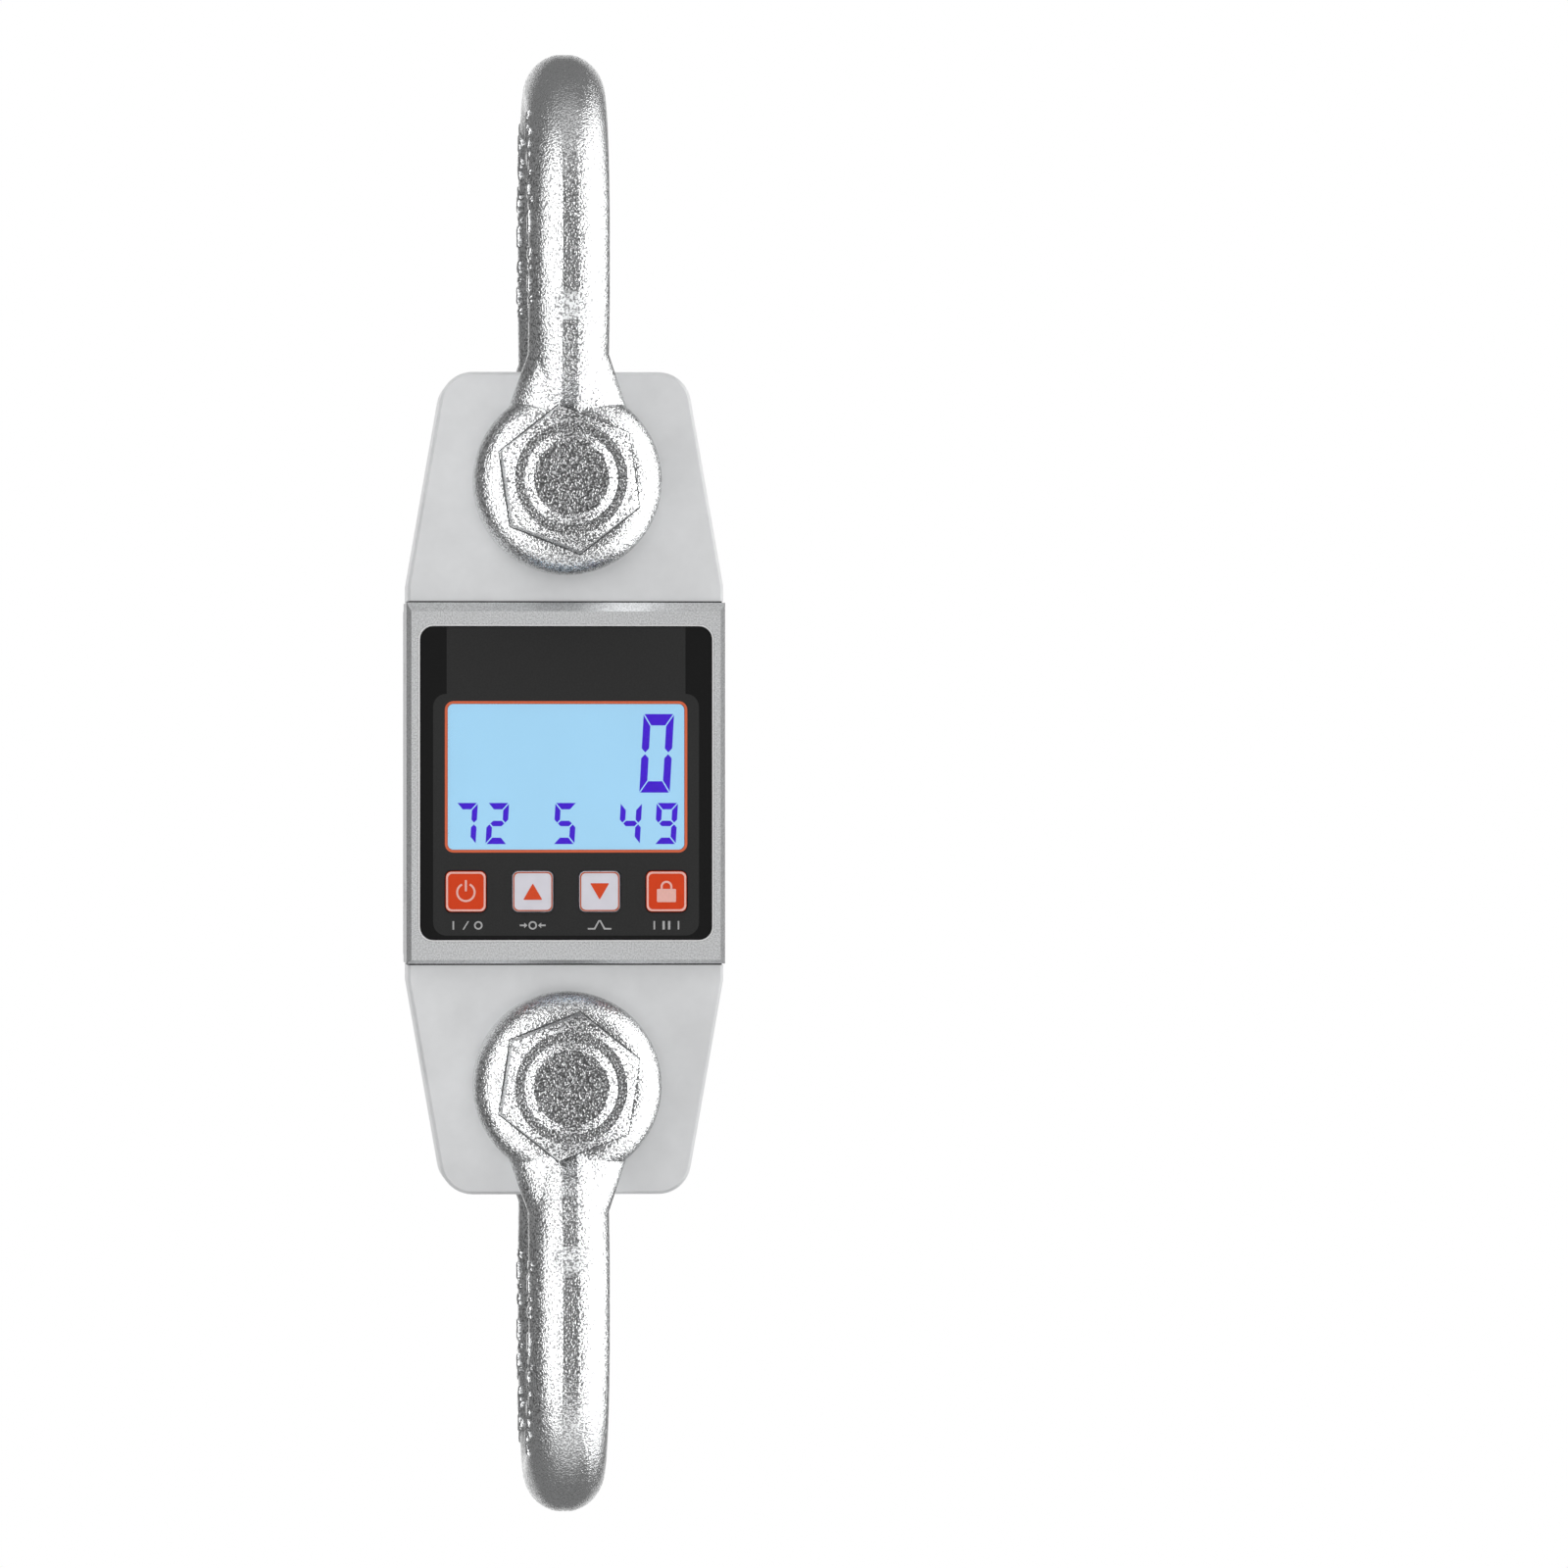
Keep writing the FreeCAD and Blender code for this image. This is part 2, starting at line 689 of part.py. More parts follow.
def battery_tray():
    low = tray_floor_start
    high = cell_axis
    block = rounded_slab(tray_width, tray_height, tray_corner_radius, low, high)
    troughs = []
    groove = cell_diameter / 2 + cell_gap
    for x, _ in cell_places():
        start = vector(x, cell_axis, -cell_space / 2)
        troughs.append(rod(groove, start, vector(0, 0, 1), cell_space))
    foot_x = tray_width / 2 - tray_foot_inset
    foot_z = tray_height / 2 - tray_foot_inset
    foot = tray_foot_diameter / 2
    feet = [rod_y(foot, web_back, low, x, z) for x, z in both_ways(foot_x, foot_z)]
    return block.cut(troughs).fuse(feet)


def battery_cells():
    cells = []
    for x, way in cell_places():
        base = -way * (cell_space / 2 - contact_thickness - contact_spring)
        up = vector(0, 0, way)
        can = rod(cell_diameter / 2, vector(x, cell_axis, base), up, cell_length)
        rims = [edge for edge in can.Edges if isinstance(edge.Curve, Part.Circle)]
        can = can.makeFillet(cell_edge_radius, rims)
        tip_start = vector(x, cell_axis, base + way * cell_length)
        tip = rod(terminal_diameter / 2, tip_start, up, terminal_length)
        cells.append(can.fuse(tip))
    return Part.makeCompound(cells)


def battery_contacts():
    """A spring plate at the flat end of each cell and a plain plate at its tip."""
    plates = []
    half = contact_width / 2
    for x, way in cell_places():
        for side in (-1, 1):
            outer = side * cell_space / 2
            inner = side * (cell_space / 2 - contact_thickness)
            near, far = sorted((outer, inner))
            plate = box(x - half, x + half, cell_axis - half, cell_axis, near, far)
            if side == -way:
                start = vector(x, cell_axis - half / 2, inner)
                spring = rod(spring_diameter / 2, start, vector(0, 0, -side), contact_spring)
                plate = plate.fuse(spring)
            plates.append(plate)
    return Part.makeCompound(plates)


def battery_door():
    door = rounded_slab(door_width, door_height, door_corner_radius, door_front, door_back)
    grip_front = door_back - grip_depth
    holes = [
        rounded_slab(grip_width, grip_height, grip_corner_radius, grip_front, door_back)
    ]
    for sign in (-1, 1):
        surface = vector(0, door_back, sign * door_screw_z)
        holes.append(screw_room("small", surface, vector(0, -1, 0), door_thickness))
    return door.cut(holes)


def door_gasket():
    inset = door_gasket_inset
    ring = rounded_slab(
        door_width - 2 * inset,
        door_height - 2 * inset,
        door_corner_radius - inset,
        door_gasket_front,
        door_front,
    )
    holes = [
        rounded_slab(
            mouth_width + 2 * inset,
            mouth_height + 2 * inset,
            tray_corner_radius + inset,
            door_gasket_front,
            door_front,
        )
    ]
    clear = screw_sizes["small"][0] / 2 + screw_hole_gap
    for sign in (-1, 1):
        holes.append(rod_y(clear, door_gasket_front, door_front, 0, sign * door_screw_z))
    return ring.cut(holes)


def side_screws():
    length = housing_wall + side_gap + side_screw_depth
    screws = []
    for sign, z in both_ways(1, side_screw_height):
        surface = vector(sign * housing_width / 2, 0, z)
        screws.append(screw("large", surface, vector(-sign, 0, 0), length, True))
    return Part.makeCompound(screws)


def cover_screws():
    length = housing_back - web_back + cover_screw_depth
    screws = []
    for x, z in both_ways(cover_post_x, cover_post_z):
        screws.append(screw("large", vector(x, housing_back, z), vector(0, -1, 0), length, True))
    return Part.makeCompound(screws)


def door_screws():
    screws = []
    for sign in (-1, 1):
        surface = vector(0, door_back, sign * door_screw_z)
        screws.append(screw("small", surface, vector(0, -1, 0), door_screw_length, True))
    return Part.makeCompound(screws)


def board_screws():
    length = board_thickness + board_front - inside_front
    screws = []
    for x, z in both_ways(board_boss_x, board_boss_z):
        screws.append(screw("small", vector(x, board_back, z), vector(0, -1, 0), length, False))
    return Part.makeCompound(screws)


def ellipse(y, z, half_x, half_y):
    curve = Part.Ellipse(vector(0, y, z), half_x, half_y)
    return Part.Wire([curve.toShape()])


def swept(face, wire):
    """The solid a flat section leaves as it follows a path of straight runs and arcs."""
    pieces = []
    section = face.copy()
    for edge in wire.OrderedEdges:
        first, last = (edge.firstVertex(True).Point, edge.lastVertex(True).Point)
        if isinstance(edge.Curve, Part.Line):
            pieces.append(section.extrude(last - first))
            section.translate(last - first)
            continue
        centre = edge.Curve.Center
        axis = (first - centre).cross(last - centre)
        turn = math.degrees(edge.Length / edge.Curve.Radius)
        pieces.append(section.revolve(centre, axis, turn))
        section.rotate(centre, axis, turn)
    return pieces


def bow():
    """An upright bow shackle, drawn about the centre of its pin."""
    radius = bow_stock / 2
    leg_y = ear_middle + bow_bulge
    shoulder_z = bow_inside_length + radius - leg_y
    corners = [vector(0, leg_y, shoulder_z), vector(0, leg_y, leg_bend_high)]
    corners += [vector(0, ear_middle, leg_bend_low), vector(0, ear_middle, radius)]
    leg = rounded_wire(corners, [leg_bend_radius] * 4, False)
    top = vector(0, 0, shoulder_z + leg_y)
    quarter = vector(0, leg_y * math.sqrt(0.5), shoulder_z + leg_y * math.sqrt(0.5))
    crown = Part.Arc(top, quarter, corners[0]).toShape()
    path = Part.Wire([crown] + list(leg.OrderedEdges))
    pieces = swept(flattened_round(radius, top), path)
    right = pieces[0].multiFuse(pieces[1:]).removeSplitter()
    right = right.fuse(ear_disc()).fuse(neck(radius))
    left = right.mirror(vector(0, 0, 0), vector(0, 1, 0))
    bore = pin_diameter / 2 + pin_gap
    return right.fuse(left).cut(rod_y(bore, -ear_outside, ear_outside))


def flattened_round(radius, centre):
    """The bow's section in the plane across Y: a circle with a narrow flat inside and outside."""
    flat = math.sqrt(radius**2 - (flash_width / 2) ** 2)
    signs = ((-1, -1), (1, -1), (1, 1), (-1, 1))
    corners = [centre + vector(i * flash_width / 2, 0, j * flat) for i, j in signs]
    edges = [
        Part.LineSegment(corners[0], corners[1]).toShape(),
        Part.Arc(corners[1], centre + vector(radius, 0, 0), corners[2]).toShape(),
        Part.LineSegment(corners[2], corners[3]).toShape(),
        Part.Arc(corners[3], centre + vector(-radius, 0, 0), corners[0]).toShape(),
    ]
    return Part.Face(Part.Wire(edges))


def ear_disc():
    """The flattened eye at the foot of the leg on the +Y side."""
    disc = rod_y(ear_diameter / 2, jaw / 2, ear_outside)
    disc = disc.makeFillet(ear_edge_radius, edges_at_y(disc, ear_outside))
    return disc.makeFillet(ear_inner_edge_radius, edges_at_y(disc, jaw / 2))


def neck(radius):
    """The stretch that narrows from the eye to the leg, and leans outward with the leg."""
    slope = bow_bulge / (leg_bend_high - leg_bend_low)
    sections = []
    for share in neck_shares:
        z = neck_top * share
        y = ear_middle + max(0.0, z - leg_bend_low) * slope
        half = radius + (ear_diameter / 2 - radius) * (1 - share) ** neck_curve
        sections.append(ellipse(y, z, half, radius - neck_inset))
    return Part.makeLoft(sections, True, True)


def sloped_end(y_end, way, ring_diameter):
    """A cone that trims a hexagon's corners; it widens from the ring at y_end, towards way."""
    ring = ring_diameter / 2
    reach = head_flats
    slope = math.tan(math.radians(hexagon_slope))
    start = vector(0, y_end, 0)
    return Part.makeCone(ring, ring + reach * slope, reach, start, vector(0, way, 0))


def bolt(head_turn):
    """A shackle bolt along Y about its own axis, its head to the front."""
    head_back = -ear_outside - end_play
    head_front = head_back - head_height
    boss_front = head_front - head_boss_height
    nut_end = ear_outside + end_play + nut_height
    tail = nut_end + bolt_tail
    front = hexagon_wire(head_flats - 2 * head_draft, head_front, head_turn)
    back = hexagon_wire(head_flats, head_back, head_turn)
    head = Part.makeLoft([front, back], True, True)
    head = head.common(sloped_end(head_front, 1, head_ring_diameter))
    head = head.common(sloped_end(head_back, -1, bearing_ring_diameter))
    boss_sides = boss_front + head_boss_slope
    boss = rod_y(pin_diameter / 2, boss_sides, head_front)
    rim = (pin_diameter / 2 - head_boss_chamfer, pin_diameter / 2, head_boss_slope)
    boss = boss.fuse(Part.makeCone(*rim, vector(0, boss_front, 0), vector(0, 1, 0)))
    shank = rod_y(pin_diameter / 2, head_back, tail)
    shank = shank.makeChamfer(bolt_tail_chamfer, edges_at_y(shank, tail))
    start = vector(-pin_diameter, nut_end + split_hole_offset, 0)
    hole = rod(split_hole_diameter / 2, start, vector(1, 0, 0), 2 * pin_diameter)
    return head.fuse([boss, shank]).cut(hole)


def nut():
    start = ear_outside + end_play
    end = start + nut_height
    block = hexagon(head_flats, start, end, nut_turn)
    block = block.common(sloped_end(start, 1, bearing_ring_diameter))
    block = block.common(sloped_end(end, -1, bearing_ring_diameter))
    return block.cut(rod_y(pin_diameter / 2, start, end))


def split_pin():
    """One wire: an eye on the right, two legs through the bolt, and their ends bent apart."""
    y = ear_outside + end_play + nut_height + split_hole_offset
    leg_z = (split_wire + split_leg_gap) / 2
    eye_x = pin_diameter / 2 + split_eye_start
    bend_x = -pin_diameter / 2 - split_leg_start
    eye_z = split_eye / 2
    half = [(bend_x - split_leg_run, split_leg_spread / 2), (bend_x, leg_z), (eye_x, leg_z)]
    half += [(eye_x + eye_z / 2, eye_z), (eye_x + split_eye, eye_z)]
    points = [vector(x, y, z) for x, z in half]
    points += [vector(x, y, -z) for x, z in reversed(half)]
    radii = [0] + [split_leg_bend] * 3 + [split_eye_bend] * 2 + [split_leg_bend] * 3 + [0]
    return tube(rounded_wire(points, radii, False), split_wire)


def place_shackle(shape, top):
    """Put a piece of a shackle at the upper pin, or turn it over to the lower pin."""
    placed = shape.copy()
    if not top:
        placed.rotate(vector(0, 0, 0), vector(0, 1, 0), 180)
    placed.translate(vector(0, 0, pin_height if top else -pin_height))
    return placed


def save(name, shape):
    moved = shape.copy()
    moved.translate(vector(0, 0, -hook_seat_height))
    moved.exportStep(f"parts/{name}.step")


def main():
    os.makedirs("parts", exist_ok=True)
    save("load_cell_body", load_cell_body())
    save("front_housing", front_housing())
    save("rear_cover", rear_cover())
    save("front_gasket", Part.makeCompound(end_strips(web_front - gasket_thickness)))
    save("rear_gasket", rear_gasket())
    save("overlay_panel", overlay_panel())
    window = display_slab(
        window_width, window_height, window_corner_radius, panel_front, panel_back
    )
    save("display_window", window)
    wide = window_width + 2 * display_border
    tall = window_height + 2 * display_border
    corner = display_corner_radius
    save("display_glass", display_slab(wide, tall, corner, glass_front, backlight_front))
    save("display_backlight", display_slab(wide, tall, corner, backlight_front, board_front))
    for name, x in key_places():
        save(name, key(x))
    save("key_switches", key_switches())
    save("main_board", main_board())
    save("board_components", board_components())
    save("board_screws", board_screws())
    save("strain_gauges", strain_gauges())
    save("gauge_leads", gauge_leads())
    save("supply_wires", supply_wires())
    save("battery_tray", battery_tray())
    save("battery_cells", battery_cells())
    save("battery_contacts", battery_contacts())
    save("battery_door", battery_door())
    save("door_gasket", door_gasket())
    save("door_screws", door_screws())
    save("side_screws", side_screws())
    save("cover_screws", cover_screws())
    shackle = {"bow": bow(), "nut": nut(), "split_pin": split_pin()}
    for place, turn in head_turns.items():
        pieces = {**shackle, "bolt": bolt(turn)}
        for name, shape in pieces.items():
            save(f"{place}_{name}", place_shackle(shape, place == "upper"))


main()
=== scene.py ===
"""Finishes, printed marks and studio for a hanging electronic scale with two bow shackles."""

import json
from math import cos, pi, radians, sin, sqrt, tan, tau

import bmesh
import bpy
from bpy.types import Operator, Panel, PropertyGroup
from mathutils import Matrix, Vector


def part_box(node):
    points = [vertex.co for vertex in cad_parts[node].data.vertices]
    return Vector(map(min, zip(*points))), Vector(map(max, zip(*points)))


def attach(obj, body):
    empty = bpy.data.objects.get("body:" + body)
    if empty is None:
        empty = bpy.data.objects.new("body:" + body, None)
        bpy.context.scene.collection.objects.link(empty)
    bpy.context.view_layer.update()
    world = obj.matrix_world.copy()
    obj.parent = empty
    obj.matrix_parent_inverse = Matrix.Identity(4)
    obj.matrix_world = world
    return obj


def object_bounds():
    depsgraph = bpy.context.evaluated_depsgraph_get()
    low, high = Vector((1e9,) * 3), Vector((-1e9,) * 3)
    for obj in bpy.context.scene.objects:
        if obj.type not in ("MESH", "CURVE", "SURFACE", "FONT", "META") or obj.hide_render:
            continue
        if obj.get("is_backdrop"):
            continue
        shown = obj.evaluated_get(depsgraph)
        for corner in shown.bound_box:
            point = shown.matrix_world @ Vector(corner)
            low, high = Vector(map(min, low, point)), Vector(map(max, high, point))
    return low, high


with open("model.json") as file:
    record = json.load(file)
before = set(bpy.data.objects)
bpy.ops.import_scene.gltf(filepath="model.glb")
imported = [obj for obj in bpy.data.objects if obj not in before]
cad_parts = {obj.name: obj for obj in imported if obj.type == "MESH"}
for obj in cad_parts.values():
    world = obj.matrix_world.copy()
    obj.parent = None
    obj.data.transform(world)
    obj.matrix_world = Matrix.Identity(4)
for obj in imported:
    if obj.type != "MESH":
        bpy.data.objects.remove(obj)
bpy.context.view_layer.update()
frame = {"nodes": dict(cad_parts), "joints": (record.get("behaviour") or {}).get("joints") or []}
NODES = frame["nodes"]
MM = 0.001

bl_info = {
    "name": "Hanging Scale",
    "version": (1, 0, 0),
    "blender": (4, 5, 0),
    "location": "3D Viewport > Sidebar > Hanging Scale",
    "description": "Finishes, display, key marks and studio of a hanging electronic scale",
    "category": "Object",
}


# -------- places, read from the frame


def centre_of(node):
    low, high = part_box(node)
    return (low + high) / 2


def size_of(node):
    low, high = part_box(node)
    return high - low


KEYS = ("key_power", "key_up", "key_down", "key_lock")
KEY_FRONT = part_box("key_power")[0].y
WINDOW = centre_of("display_window")
WINDOW_SIZE = size_of("display_window")
PANEL = centre_of("overlay_panel")
PANEL_SIZE = size_of("overlay_panel")
PANEL_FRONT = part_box("overlay_panel")[0].y
PLATE = centre_of("load_cell_body")
JOINTS = {joint["name"]: joint for joint in frame["joints"]}
UPPER_PIN = Vector(JOINTS["upper_swing"]["pos_m"])
LOWER_PIN = Vector(JOINTS["lower_swing"]["pos_m"])
PIN_HEIGHT = (UPPER_PIN.z - LOWER_PIN.z) / 2  # of either pin, from the plate's middle


# -------- sizes that go with the frame

CORNER_STEPS = 6  # straight runs in a rounded corner
WINDOW_CORNER = 1.5 * MM
PANEL_CORNER = 3.6 * MM
# The bright edge round the panel is a painted highlight.
PANEL_GAP = 0.15 * MM  # from the panel's edge to the bright edge round it
EDGE_THICKNESS = 0.06 * MM
KEY_FACE = Vector((1, 0, 1)) * 11.0 * MM
KEY_CORNER = 1.6 * MM
KEY_ROOM = 0.3 * MM  # between a key and the printed field round it
KEY_EDGE = 0.14 * MM  # from a key's side to its printed rim
THIN_RIM = 0.35 * MM  # the printed rim of a white key
FIELD_CLEARANCE = 0.1 * MM  # between the window and the printed field round it
FIELD_STRIP = 32.5 * MM  # half width of the lighter field above the window
FIELD_HALF_WIDTH = 36.2 * MM  # half width round the window and keys
FIELD_TOP = 24.3 * MM  # above the plate's middle, where the field widens
FIELD_BOTTOM = -41.5 * MM
FIELD_CORNER = 3.6 * MM
FIELD_MARGIN = 0.2 * MM  # from the field's top to the panel's

# The screen's digits: thickness of their bars and posts, and the place of each from the
# plate's middle, in millimetres
BIG_STROKES = (3.1 * MM, 2.0 * MM)
SMALL_STROKES = (1.75 * MM, 1.5 * MM)
BIG_DIGITS = [("0", 24.7, 8.1)]
SMALL_DIGITS = [("7", -27.2, -11.0), ("2", -18.7, -11.0), ("5", -0.3, -11.0)]
SMALL_DIGITS += [("4", 17.5, -11.0), ("9", 27.3, -11.0)]
SEGMENTS = {"0": "abcdef", "2": "abged", "4": "fgbc", "5": "afgcd", "7": "abc", "9": "abcdfg"}
DIGIT_THICKNESS = 0.06 * MM
DIGIT_GAP = 0.01 * MM  # between the screen and its digits

HEAD_FLATS = 35.2 * MM
HEAD_DEPTH = 16.1 * MM  # from the front of the boss to the foot of the head
HEAD_TURNS = {"upper": 38.5, "lower": 21.5}  # degrees from +X to a corner of each hexagon
# Thickness of the dark ring that paints the shadow round each bolt's head
HEAD_SHADOW_THICKNESS = 0.3 * MM

BOW_RADIUS = 11.0 * MM  # of the round stock
LEG_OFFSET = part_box("upper_bow")[1].y - BOW_RADIUS  # from the middle to a leg's centre line
CROWN_START = 66.5 * MM  # above the pin, where the legs begin to curve into the crown
DRESSED_BAND = (42.5 * MM, 53.0 * MM)  # from and to, above the pin
DRESSED_SIDE = (9.0 * MM, 4.0 * MM)  # from the bow's middle: where the band ends, and is full
DRESSED_ROUGHNESS = 0.62
THICK_ZINC = (86.0 * MM, 104.0 * MM)  # above the pin: where it starts, and is full

# The forged marks: the bars' profile, as shares of their half width and their height, then
# the length of each bar in millimetres and its reach round the bow each way in degrees
MARK_START = 47.0 * MM  # above the pin
MARK_COLUMNS = 10
MARK_PROFILE = [(-1.0, -0.4), (-0.92, 0.5), (-0.7, 0.95)]
MARK_PROFILE += [(-across, rise) for across, rise in reversed(MARK_PROFILE)]
MARK_RUNS = [(2.6, 24), (5.4, 13), (1.4, 22), (3.8, 19), (1.5, 0), (6.6, 15), (1.8, 25)]
MARK_RUNS += [(4.2, 12), (1.3, 20), (2.2, 0), (5.8, 18), (1.6, 24), (3.6, 13), (2.1, 22)]

CAMERA_DROP = 0.25 * MM  # the frame's middle lies this far below the plate's
FLOOR_RADIUS = 6.0
FLOOR_GLOW = 0.62
ROOM_FRONT = 0.24  # how bright the room is in gloss, in front of the object and behind it
ROOM_BACK = 0.26
SOFTBOX_DISTANCE = 1.3
# These include the dark ring that paints the shadow round each bolt's head.
FORGINGS = ("bow", "bolt", "nut", "split_pin", "forged_marks", "head_shadow_line")
# The casing includes the painted highlight round the panel's opening.
CASING = ("load_cell_body", "front_housing", "rear_cover", "battery_door", "opening_highlight")
# Name, azimuth and elevation in degrees, width and height in metres, brightness, whether it
# shines in gloss (or else lights matt surfaces), and which things it lights
SOFTBOXES = [
    ("left_softbox", -44, 0, 1.3, 3.0, 2.7, True, "zinc"),
    ("right_softbox", 81, 0, 2.1, 3.0, 3.5, True, "zinc"),
    ("back_softbox", 180, 0, 0.7, 1.2, 1.1, True, "zinc"),
    ("left_panel", -50, 0, 1.3, 3.0, 1.1, True, "rest"),
    ("right_panel", 70, 0, 1.6, 3.0, 0.9, True, "rest"),
    ("back_panel", 180, 0, 2.0, 2.4, 0.6, True, "rest"),
    ("front_panel", 0, 0, 1.6, 1.6, 0.46, True, "casing"),
    ("top_softbox", 0, 70, 1.6, 0.7, 0.6, True, "all"),
    ("bottom_softbox", 0, -70, 1.6, 0.7, 0.95, True, "all"),
    ("left_fill", -50, 25, 1.6, 1.6, 0.55, False, "object"),
    ("right_fill", 50, 25, 1.6, 1.6, 0.5, False, "object"),
    ("back_fill", 180, 25, 1.6, 1.6, 0.6, False, "object"),
    ("overhead_fill", 0, 89, 3.0, 3.0, 1.9, False, "object"),
]


# -------- sizes and colours to change


def length(name, description, millimetres):
    return bpy.props.FloatProperty(
        name=name, description=description, default=millimetres * MM, min=0.0, unit="LENGTH"
    )


def angle(name, description, degrees):
    return bpy.props.FloatProperty(
        name=name, description=description, default=radians(degrees), subtype="ANGLE"
    )


def linear(code):
    """The linear colour, with alpha, of an sRGB hex code such as C8C8C8."""
    shares = [int(code[i : i + 2], 16) / 255 for i in (0, 2, 4)]
    tones = [s / 12.92 if s <= 0.04045 else ((s + 0.055) / 1.055) ** 2.4 for s in shares]
    return (*tones, 1.0)


def colour(name, description, code):
    tone = linear(code)[:3]
    return bpy.props.FloatVectorProperty(
        name=name, description=description, default=tone, min=0.0, max=1.0, subtype="COLOR"
    )


class DisplaySizes(PropertyGroup):
    big_height: length("Big digit height", "Height of the weight's digit", 21.4)
    big_width: length("Big digit width", "Width of the weight's digit", 8.3)
    small_height: length("Small digit height", "Height of the lower row of digits", 11.2)
    small_width: length("Small digit width", "Width of the lower row's digits", 5.8)
    segment_gap: length("Segment gap", "Space between neighbouring segments", 0.24)
    # The bright edge round the panel is a painted highlight.
    opening_highlight: length("Opening highlight", "Width of the bright edge round the panel", 0.35)
    # The bead is a painted shadow: a dark strip along the gap between housing and plate.
    bead: length("Edge shadow", "Height of the painted shadow along the housing's edges", 0.4)
    border: length("Border", "Width of the printed line round the window", 0.85)
    slant: angle("Slant", "How far the digits lean over", 3.2)


class KeySizes(PropertyGroup):
    rim: length("Key rim", "Width of the printed rim of an orange key", 0.5)
    print_thickness: length("Ink thickness", "Height of printed marks above their face", 0.04)
    ring: length("Power ring", "Outside diameter of the power mark's ring", 5.3)
    stroke: length("Stroke", "Line width of the power mark and the padlock's arch", 0.55)
    arrow: length("Arrow width", "Width of the up and down marks", 5.2)
    legend_drop: length("Legend drop", "From the middle of a key to its legend", 9.2)
    legend_height: length("Legend height", "Height of the marks under the keys", 2.3)
    legend_stroke: length("Legend stroke", "Line width of the marks under the keys", 0.42)


class ForgingSizes(PropertyGroup):
    mark_height: length("Mark height", "How far the forged marks stand out", 0.65)
    mark_gap: length("Mark gap", "From the end of one forged bar to the next", 0.9)
    # The dark line round a bolt's head is a painted shadow.
    head_shadow_width: length("Head shadow width", "Width of the dark line round a bolt's head", 0.35)


class FinishColours(PropertyGroup):
    zinc: colour("Zinc", "Galvanised forgings, light grain", "E4E5E6")
    plate: colour("Plate", "Anodised load cell plate", "ECEDEE")
    housing: colour("Housing", "Bead-blasted housing", "E4E5E6")
    panel: colour("Panel", "Outer field of the front panel", "171717")
    panel_field: colour("Panel field", "Lighter field round the display and keys", "2F2F2F")
    orange: colour("Orange", "Orange keys", "D43C05")
    key_white: colour("White keys", "Pale keys", "D8D6DE")
    line_ink: colour("Line ink", "Line round the window", "D4603A")
    pale_ink: colour("Pale ink", "Rims and marks of the orange keys", "E9B4AA")
    rim_ink: colour("Rim ink", "Rims of the white keys", "B8542C")
    mark_ink: colour("Mark ink", "Arrows on the white keys", "D8440E")
    legend_ink: colour("Legend ink", "Signs under the keys", "ACACAC")
    screen: colour("Screen", "Lit screen", "A3D6F5")
    segment: colour("Segments", "Segments of the screen's digits", "4412D8")


class StageSizes(PropertyGroup):
    frame_width: length("Frame width", "Width of what the camera takes in at the plate", 427.2)
    object_offset: length("Object offset", "From the frame's middle to the object", 59.5)
    floor_drop: length("Floor drop", "From the lower bow down to the floor", 450.0)
    azimuth: angle("Azimuth", "How far to the left of the object the camera stands", 2.3)
    lens: bpy.props.FloatProperty(
        name="Lens", description="Focal length of the camera", default=250.0, min=50.0
    )


GROUPS = {
    "scale_display": DisplaySizes,
    "scale_keys": KeySizes,
    "scale_forging": ForgingSizes,
    "scale_finish": FinishColours,
    "scale_stage": StageSizes,
}


# -------- materials

WHITE = (1.0, 1.0, 1.0, 1.0)
BLACK = (0.0, 0.0, 0.0, 1.0)
METAL = {"Metallic": 1.0}


def grain(millimetres):
    """The texture scale at which one grain of the pattern is that many millimetres wide."""
    return 1 / (millimetres * MM)


def rgba(tone, share):
    return (*(channel * share for channel in tone), 1.0)


def shares(tone, *stops):
    """Colour stops from positions and the share of the tone at each."""
    return [(position, rgba(tone, share)) for position, share in stops]


def codes(*stops):
    """Colour stops from positions and the hex code at each."""
    return [(position, linear(code)) for position, code in stops]


def add(tree, kind, settings=None, links=None):
    """Add a node, set its properties, colour stops and inputs, and link other inputs to
    sockets, or to the first output of a node."""
    node = tree.nodes.new("ShaderNode" + kind)
    for key, value in (settings or {}).items():
        if key == "stops":
            elements = node.color_ramp.elements
            while len(elements) < len(value):
                elements.new(0.5)
            for element, (position, tone) in zip(elements, value):
                element.position = position
                element.color = tone
        elif isinstance(key, str) and key in node.bl_rna.properties:
            setattr(node, key, value)
        else:
            node.inputs[key].default_value = value
    for key, source in (links or {}).items():
        socket = source.outputs[0] if isinstance(source, bpy.types.Node) else source
        tree.links.new(socket, node.inputs[key])
    return node


def new_material(name, settings):
    """A material whose Principled shader has the settings, and its coordinates in metres."""
    material = bpy.data.materials.new(name)
    material.use_nodes = True
    tree = material.node_tree
    shader = tree.nodes["Principled BSDF"]
    for key, value in settings.items():
        shader.inputs[key].default_value = value
    place = add(tree, "TexCoord").outputs["Object"]
    return material, tree, shader, place


